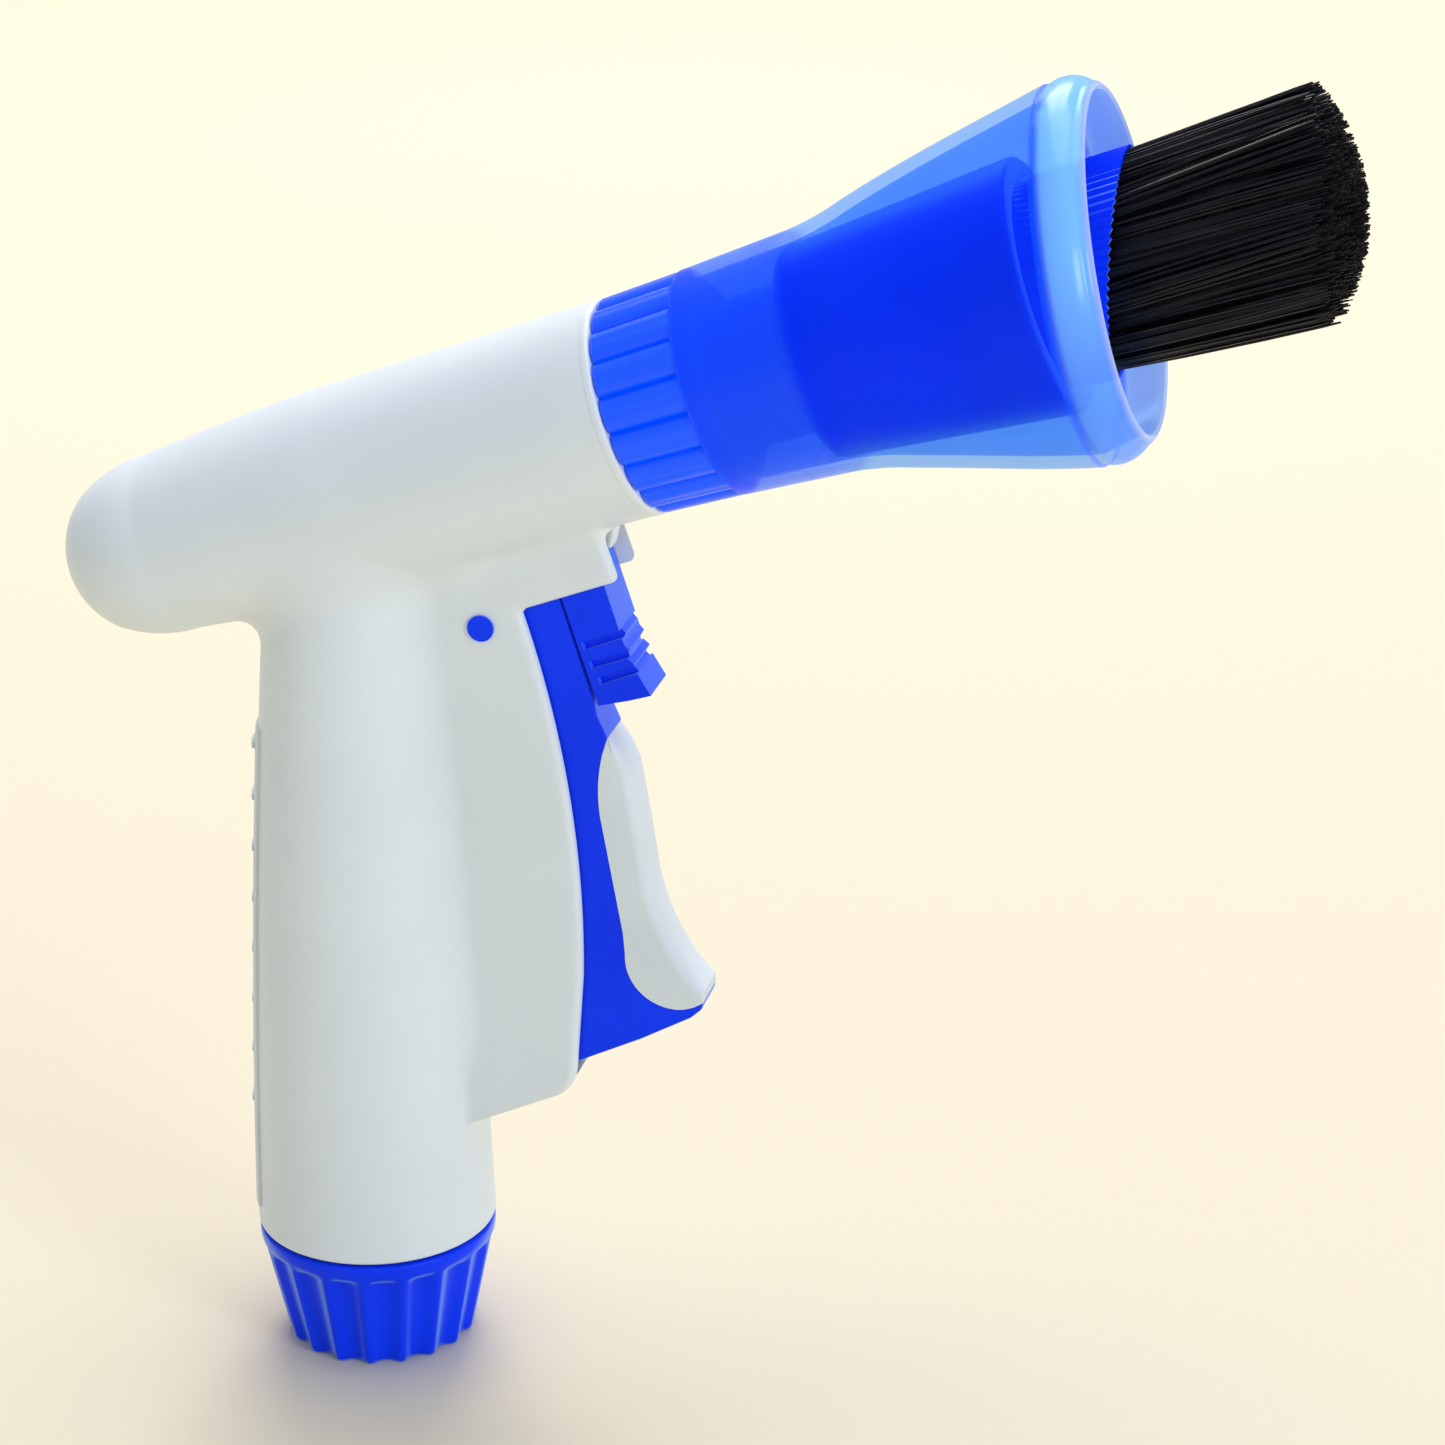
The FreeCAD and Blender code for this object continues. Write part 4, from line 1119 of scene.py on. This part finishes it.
@dataclass
class Funnel:
    """Clear funnel: ribbed collar, plain waist, flare, rolled lip, slanted mouth."""

    collar_back: float = 54.45
    collar_radius: float = 18.5
    collar_front_radius: float = 19.1
    ribs: int = 18
    rib_depth: float = 1.75
    rib_dip: float = 0.16
    slant: float = 0.125

    def outside(self) -> Outline:
        """(radius, along) line from the collar's back edge to the front of the lip."""
        crease = (30.35, 131.4)
        body = trace([(19.1, 69.2), (20.3, 88.0, -52), (22.4, 98.0, 500), crease], 1.2)
        bead = [(29.95, 131.7), (30.05, 132.1, 5.4), (28.9, 138.5, 2.0), (27.7, 140.0)]
        lip = trace([crease] + bead, 0.35)
        rear, ahead, back = self.collar_radius, self.collar_front_radius, self.collar_back
        collar = [(18.0, back), (rear, back + 0.5)]
        collar += spaced([(rear, back + 0.6), (ahead, 68.3)], 1.2)
        collar += [(ahead, 68.6), (ahead, 68.9)]
        return collar + body[:-1] + lip

    def inside(self) -> Outline:
        """(radius, along) line from the lip back to the collar's bore."""
        corners = [(27.2, 139.6), (27.0, 138.0), (28.3, 131.5, -500), (20.3, 98.0, 52)]
        flare = trace(corners + [(18.2, 88.0), (17.0, 68.0)], 1.5)
        return flare + [(15.1, 68.0), (15.1, self.collar_back), (18.0, self.collar_back)]

    def shape(self, funnel: Piece) -> None:
        """Press in the troughs between the collar's ribs and slant the mouth."""
        place = Bench.places(funnel)
        radius = np.hypot(place[:, 0], place[:, 1])
        angle = np.arctan2(place[:, 1], place[:, 0])
        along = place[:, 2]
        collar = (radius > 17.6) & (along < 68.75)
        phase = np.abs(((angle * self.ribs / (2 * math.pi)) % 1.0) - 0.5) * 2
        trough = 1 - np.sqrt(1 - (1 - phase) ** 2)
        dip = smooth_rise(phase, 0.70, 1.0)
        drop = collar * (self.rib_depth * trough + self.rib_dip * dip)
        place[:, :2] *= ((radius - drop) / radius)[:, None]
        share = smooth_rise(along, 100, 131)
        place[:, 2] += -place[:, 0] * self.slant * share
        Bench.move_to(funnel, place)

    def build(self, finishes: Finishes) -> None:
        """Model the funnel and dress it."""
        funnel = Bench.turn("clear_funnel", self.outside() + self.inside(), self.ribs * 16)
        self.shape(funnel)
        Bench.lay_on_barrel(funnel)
        Bench.smooth(funnel, 38)
        Bench.fit(funnel, Body.BRUSH, Slot.CLEAR, finishes, "funnel_shroud")


# ---- brush


@dataclass
class Brush:
    """Stepped hub, ribbed ferrule and a bundle of nylon strands with a domed end."""

    ferrule_ribs: int = 72
    ferrule_front: float = 139.5
    ferrule_slope: float = 6.0
    root: float = 130.5
    root_radius: float = 15.7
    tip_radius: float = 18.0
    dome_radius: float = 32.7
    dome_centre: float = 147.1
    dome_offset: float = 4.5
    strands: int = 2500
    tufts: int = 61
    strand_radius: float = 0.27
    tuft_spread: float = 0.155
    tuft_hold: float = 0.86
    tip_limit: float = 18.4
    seed: int = 11

    def make_hub(self, finishes: Finishes) -> None:
        """Hub with a seal groove, neck, step and cone."""
        outside = [(8, 64.3), (15, 64.3), (15, 65.4), (13.5, 65.4), (13.5, 67), (15, 67)]
        outside += [(15, 68), (16.6, 68), (16.6, 70.6), (16.2, 71), (12.9, 71), (12.5, 71.4)]
        outside += [(12.5, 84.8)]
        outside += trace([(16.6, 86.1, 1.6), (17.7, 87.6)], 0.3)
        outside += trace([(17.7, 87.6), (21.1, 126.2, 1.0), (20.4, 127.0)], 0.3)
        outside += [(17.2, 127), (17.2, 121), (15, 121), (15, 95), (8, 89), (8, 64.3)]
        hub = Bench.turn("stepped_hub", outside, 144)
        Bench.lay_on_barrel(hub)
        Bench.smooth(hub, 30)
        Bench.fit(hub, Body.BRUSH, Slot.BLUE, finishes, "brush_head")

    def make_ferrule(self, finishes: Finishes) -> None:
        """Sleeve with fine ribs along it and an upright, serrated front."""
        outer = spaced([(17.2, 121), (17.3, 127), (17.5, self.ferrule_front)], 1.5)
        inner = spaced([(16.6, self.ferrule_front), (16.2, 127), (16.2, 121)], 1.5)
        line = outer + inner + [outer[0]]
        ferrule = Bench.turn("ribbed_ferrule", line, self.ferrule_ribs * 4)
        place = Bench.places(ferrule)
        radius = np.hypot(place[:, 0], place[:, 1])
        angle = np.arctan2(place[:, 1], place[:, 0])
        wave = 0.5 + 0.5 * np.cos(angle * self.ferrule_ribs)
        outer_wall = (radius > 16.95) & (place[:, 2] > 127.3)
        place[:, :2] *= (1 - outer_wall * 0.45 * (1 - wave) / radius)[:, None]
        share = smooth_rise(place[:, 2], 127, self.ferrule_front)
        lean = -place[:, 0] / 17.2 * self.ferrule_slope
        place[:, 2] += share * (lean + 0.5 * (wave - 1))
        Bench.move_to(ferrule, place)
        Bench.lay_on_barrel(ferrule)
        Bench.smooth(ferrule, 40)
        Bench.fit(ferrule, Body.BRUSH, Slot.BLUE, finishes, "bristle_ferrule")

    def dome(self, up: float, side: float) -> float:
        """Where the bundle ends along the axis, at a place across it."""
        over = math.hypot(up - self.dome_offset, side)
        return self.dome_centre + math.sqrt(max(self.dome_radius**2 - over**2, 1.0))

    def master_strand(self) -> tuple[np.ndarray, list[tuple[int, ...]]]:
        """One tapered four-sided strand of unit length, as points and faces."""
        Bench.clear()
        bpy.ops.mesh.primitive_cylinder_add(
            vertices=4, radius=1.0, depth=1.0, location=(0, 0, 0.5), end_fill_type="NGON"
        )
        strand = bpy.context.object
        bpy.ops.object.transform_apply(location=True, rotation=True, scale=True)
        bpy.ops.object.mode_set(mode="EDIT")
        bpy.ops.mesh.select_all(action="SELECT")
        for height in (0.36, 0.68, 0.93):
            bpy.ops.mesh.select_all(action="SELECT")
            bpy.ops.mesh.bisect(plane_co=(0, 0, height), plane_no=(0, 0, 1))
        Bench.clear()
        points = np.array([vertex.co for vertex in strand.data.vertices])
        taper = np.where(points[:, 2] > 0.95, 0.55, 1.0 - 0.12 * points[:, 2])
        points[:, :2] *= taper[:, None]
        faces = [tuple(face.vertices) for face in strand.data.polygons]
        bpy.data.objects.remove(strand)
        return points, faces

    def make_bristles(self, finishes: Finishes) -> None:
        """Many strands in tufts that lean together, over a dark core."""
        draw = random.Random(self.seed)
        points, faces = self.master_strand()
        centres = []
        for number in range(self.tufts):
            reach = math.sqrt((number + 0.5) / self.tufts)
            turn = number * math.pi * (3 - math.sqrt(5))
            centres.append((reach * math.cos(turn), reach * math.sin(turn)))
        leans = [(draw.gauss(0, 0.75), draw.gauss(0, 0.75), draw.gauss(0, 0.9)) for _ in centres]
        places, shells = [], []
        for number in range(self.strands):
            tuft = number % self.tufts
            centre, lean = centres[tuft], leans[tuft]
            spread = math.sqrt(draw.random()) * self.tuft_spread
            turn = draw.random() * 2 * math.pi
            x, y = centre[0] + spread * math.cos(turn), centre[1] + spread * math.sin(turn)
            wide = math.hypot(x, y)
            if wide > 1:
                x, y = x / wide, y / wide
            root = Vector((x * self.root_radius, y * self.root_radius, self.root))
            hold = self.tuft_hold
            tip_x = (x * hold + centre[0] * (1 - hold)) * self.tip_radius + lean[0]
            tip_y = (y * hold + centre[1] * (1 - hold)) * self.tip_radius + lean[1]
            tip_x += draw.gauss(0, 0.55)
            tip_y += draw.gauss(0, 0.55)
            over = math.hypot(tip_x, tip_y)
            if over > self.tip_limit:
                tip_x, tip_y = tip_x * self.tip_limit / over, tip_y * self.tip_limit / over
            end = self.dome(-tip_x, tip_y) - abs(draw.gauss(0, 0.9)) - 0.3 + min(lean[2], 0)
            run = Vector((tip_x, tip_y, end)) - root
            turn_to = run.to_track_quat("Z", "X").to_matrix()
            spin = Matrix.Rotation(draw.random() * math.pi, 3, "Z")
            thick = self.strand_radius * draw.uniform(0.85, 1.12)
            size = Matrix.Diagonal((thick, thick, run.length))
            whole = np.array(turn_to @ spin @ size)
            bow = np.sin(points[:, 2] * math.pi)[:, None] * np.array(
                [draw.gauss(0, 0.22), draw.gauss(0, 0.22), 0.0]
            )
            base = len(places) * len(points)
            places.append(points @ whole.T + np.array(root) + bow)
            shells += [tuple(index + base for index in face) for face in faces]
        mesh = bpy.data.meshes.new("nylon_bristles")
        mesh.from_pydata((np.concatenate(places) * MM).tolist(), [], shells)
        bristles = bpy.data.objects.new("nylon_bristles", mesh)
        bpy.context.scene.collection.objects.link(bristles)
        core_line = [(0, self.root), (13.6, self.root)]
        core_line += [(14.6, 160), (13.8, 168), (11.0, 172.0), (6, 174.0), (0, 174.6)]
        core = Bench.turn("bristle_core", core_line, 48)
        Bench.join(bristles, core)
        Bench.lay_on_barrel(bristles)
        Bench.smooth(bristles, 60)
        Bench.fit(bristles, Body.BRUSH, Slot.BRISTLE, finishes, "bristle_tufts")

    def build(self, finishes: Finishes) -> None:
        """Model and dress the brush."""
        self.make_hub(finishes)
        self.make_ferrule(finishes)
        self.make_bristles(finishes)


# ---- studio


@dataclass
class Studio:
    """Cream floor that rises far away, soft lights and the camera."""

    cream: Triple = (0.69, 0.635, 0.460)
    camera_place: Triple = (214.73, -608.85, 366.64)
    aim: Triple = (63.72, 6.71, 120.28)
    roll: float = -0.0101
    lens: float = 99.1

    @staticmethod
    def stand(
        name: str, data: bpy.types.ID, place: Corner, look: Corner, roll: float = 0.0
    ) -> Piece:
        """Stand a camera or light at a place, looking in a direction."""
        holder = bpy.data.objects.new(name, data)
        bpy.context.scene.collection.objects.link(holder)
        turn = Vector(look).to_track_quat("-Z", "Y").to_matrix().to_4x4()
        spin = Matrix.Rotation(roll, 4, "Z")
        holder.matrix_world = Matrix.Translation(place) @ turn @ spin
        return holder

    def make_camera(self) -> None:
        """Camera at its place, aimed at the object."""
        lens = bpy.data.cameras.new("camera")
        lens.lens, lens.sensor_width = self.lens, 36.0
        lens.clip_start, lens.clip_end = 0.01, 30.0
        place, aim = Vector(self.camera_place) * MM, Vector(self.aim) * MM
        bpy.context.scene.camera = self.stand("camera", lens, place, aim - place, self.roll)

    def make_floor(self) -> None:
        """Pale floor that sweeps up into a far wall all round."""
        rings = trace([(0.1, 0), (3000, 0, 2400), (4200, 321)], 260)
        floor = Bench.turn("floor", rings, 96)
        Bench.focus(floor, edit=True)
        bpy.ops.mesh.normals_make_consistent(inside=True)
        Bench.clear()
        Bench.smooth(floor, 60)
        desk = ShaderDesk("paper_cream")
        cloud = desk.noise(1.3, 2.0)
        colour = desk.blend(cloud, [part * 0.985 for part in self.cream], self.cream)
        shader = {"Base Color": colour, "Roughness": 0.9, "Specular IOR Level": 0.1}
        floor.data.materials.append(desk.finish(desk.skin(shader)))

    def make_lights(self) -> None:
        """One very soft light that is even over the floor, and two square ones near by."""
        ceiling = bpy.data.lights.new("ceiling", "SUN")
        ceiling.energy, ceiling.angle = 1.50, math.radians(50.0)
        ceiling.color = (0.98, 0.95, 1.0)
        self.stand("ceiling", ceiling, (0, 0, 0), (-0.05, -0.28, -1.0))
        middle = Vector((0.05, 0, 0.13))
        for name, place, size, power, colour in (
            ("front_right", (1.3, -0.8, 0.6), 0.5, 10.0, (0.80, 0.83, 1.0)),
            ("high_back", (-0.25, 1.2, 1.25), 0.9, 16.0, (1.0, 0.92, 0.84)),
        ):
            light = bpy.data.lights.new(name, "AREA")
            light.shape = "SQUARE"
            light.size, light.energy, light.color = size, power, colour
            self.stand(name, light, place, middle - Vector(place))

    def build(self) -> None:
        """Set up the studio."""
        world = bpy.data.worlds.new("soft_room")
        world.use_nodes = True
        sky = world.node_tree.nodes["Background"]
        sky.inputs["Color"].default_value = (0.74, 0.78, 1.0, 1)
        sky.inputs["Strength"].default_value = 0.68
        bpy.context.scene.world = world
        view = bpy.context.scene.view_settings
        view.view_transform, view.look = "Standard", "None"
        view.exposure, view.gamma = 0.0, 1.0
        self.make_floor()
        self.make_lights()
        self.make_camera()


def main() -> None:
    """Build everything in order."""
    logging.basicConfig(level=logging.INFO, format="%(name)s %(message)s")
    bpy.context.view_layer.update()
    finishes = Finishes()
    finishes.dress_frame()
    BodyShell().build(finishes)
    HoseNut().build(finishes)
    TriggerGroup().build(finishes)
    Funnel().build(finishes)
    Brush().build(finishes)
    Studio().build()
    Bench.clear()


if __name__ == "__main__":
    main()
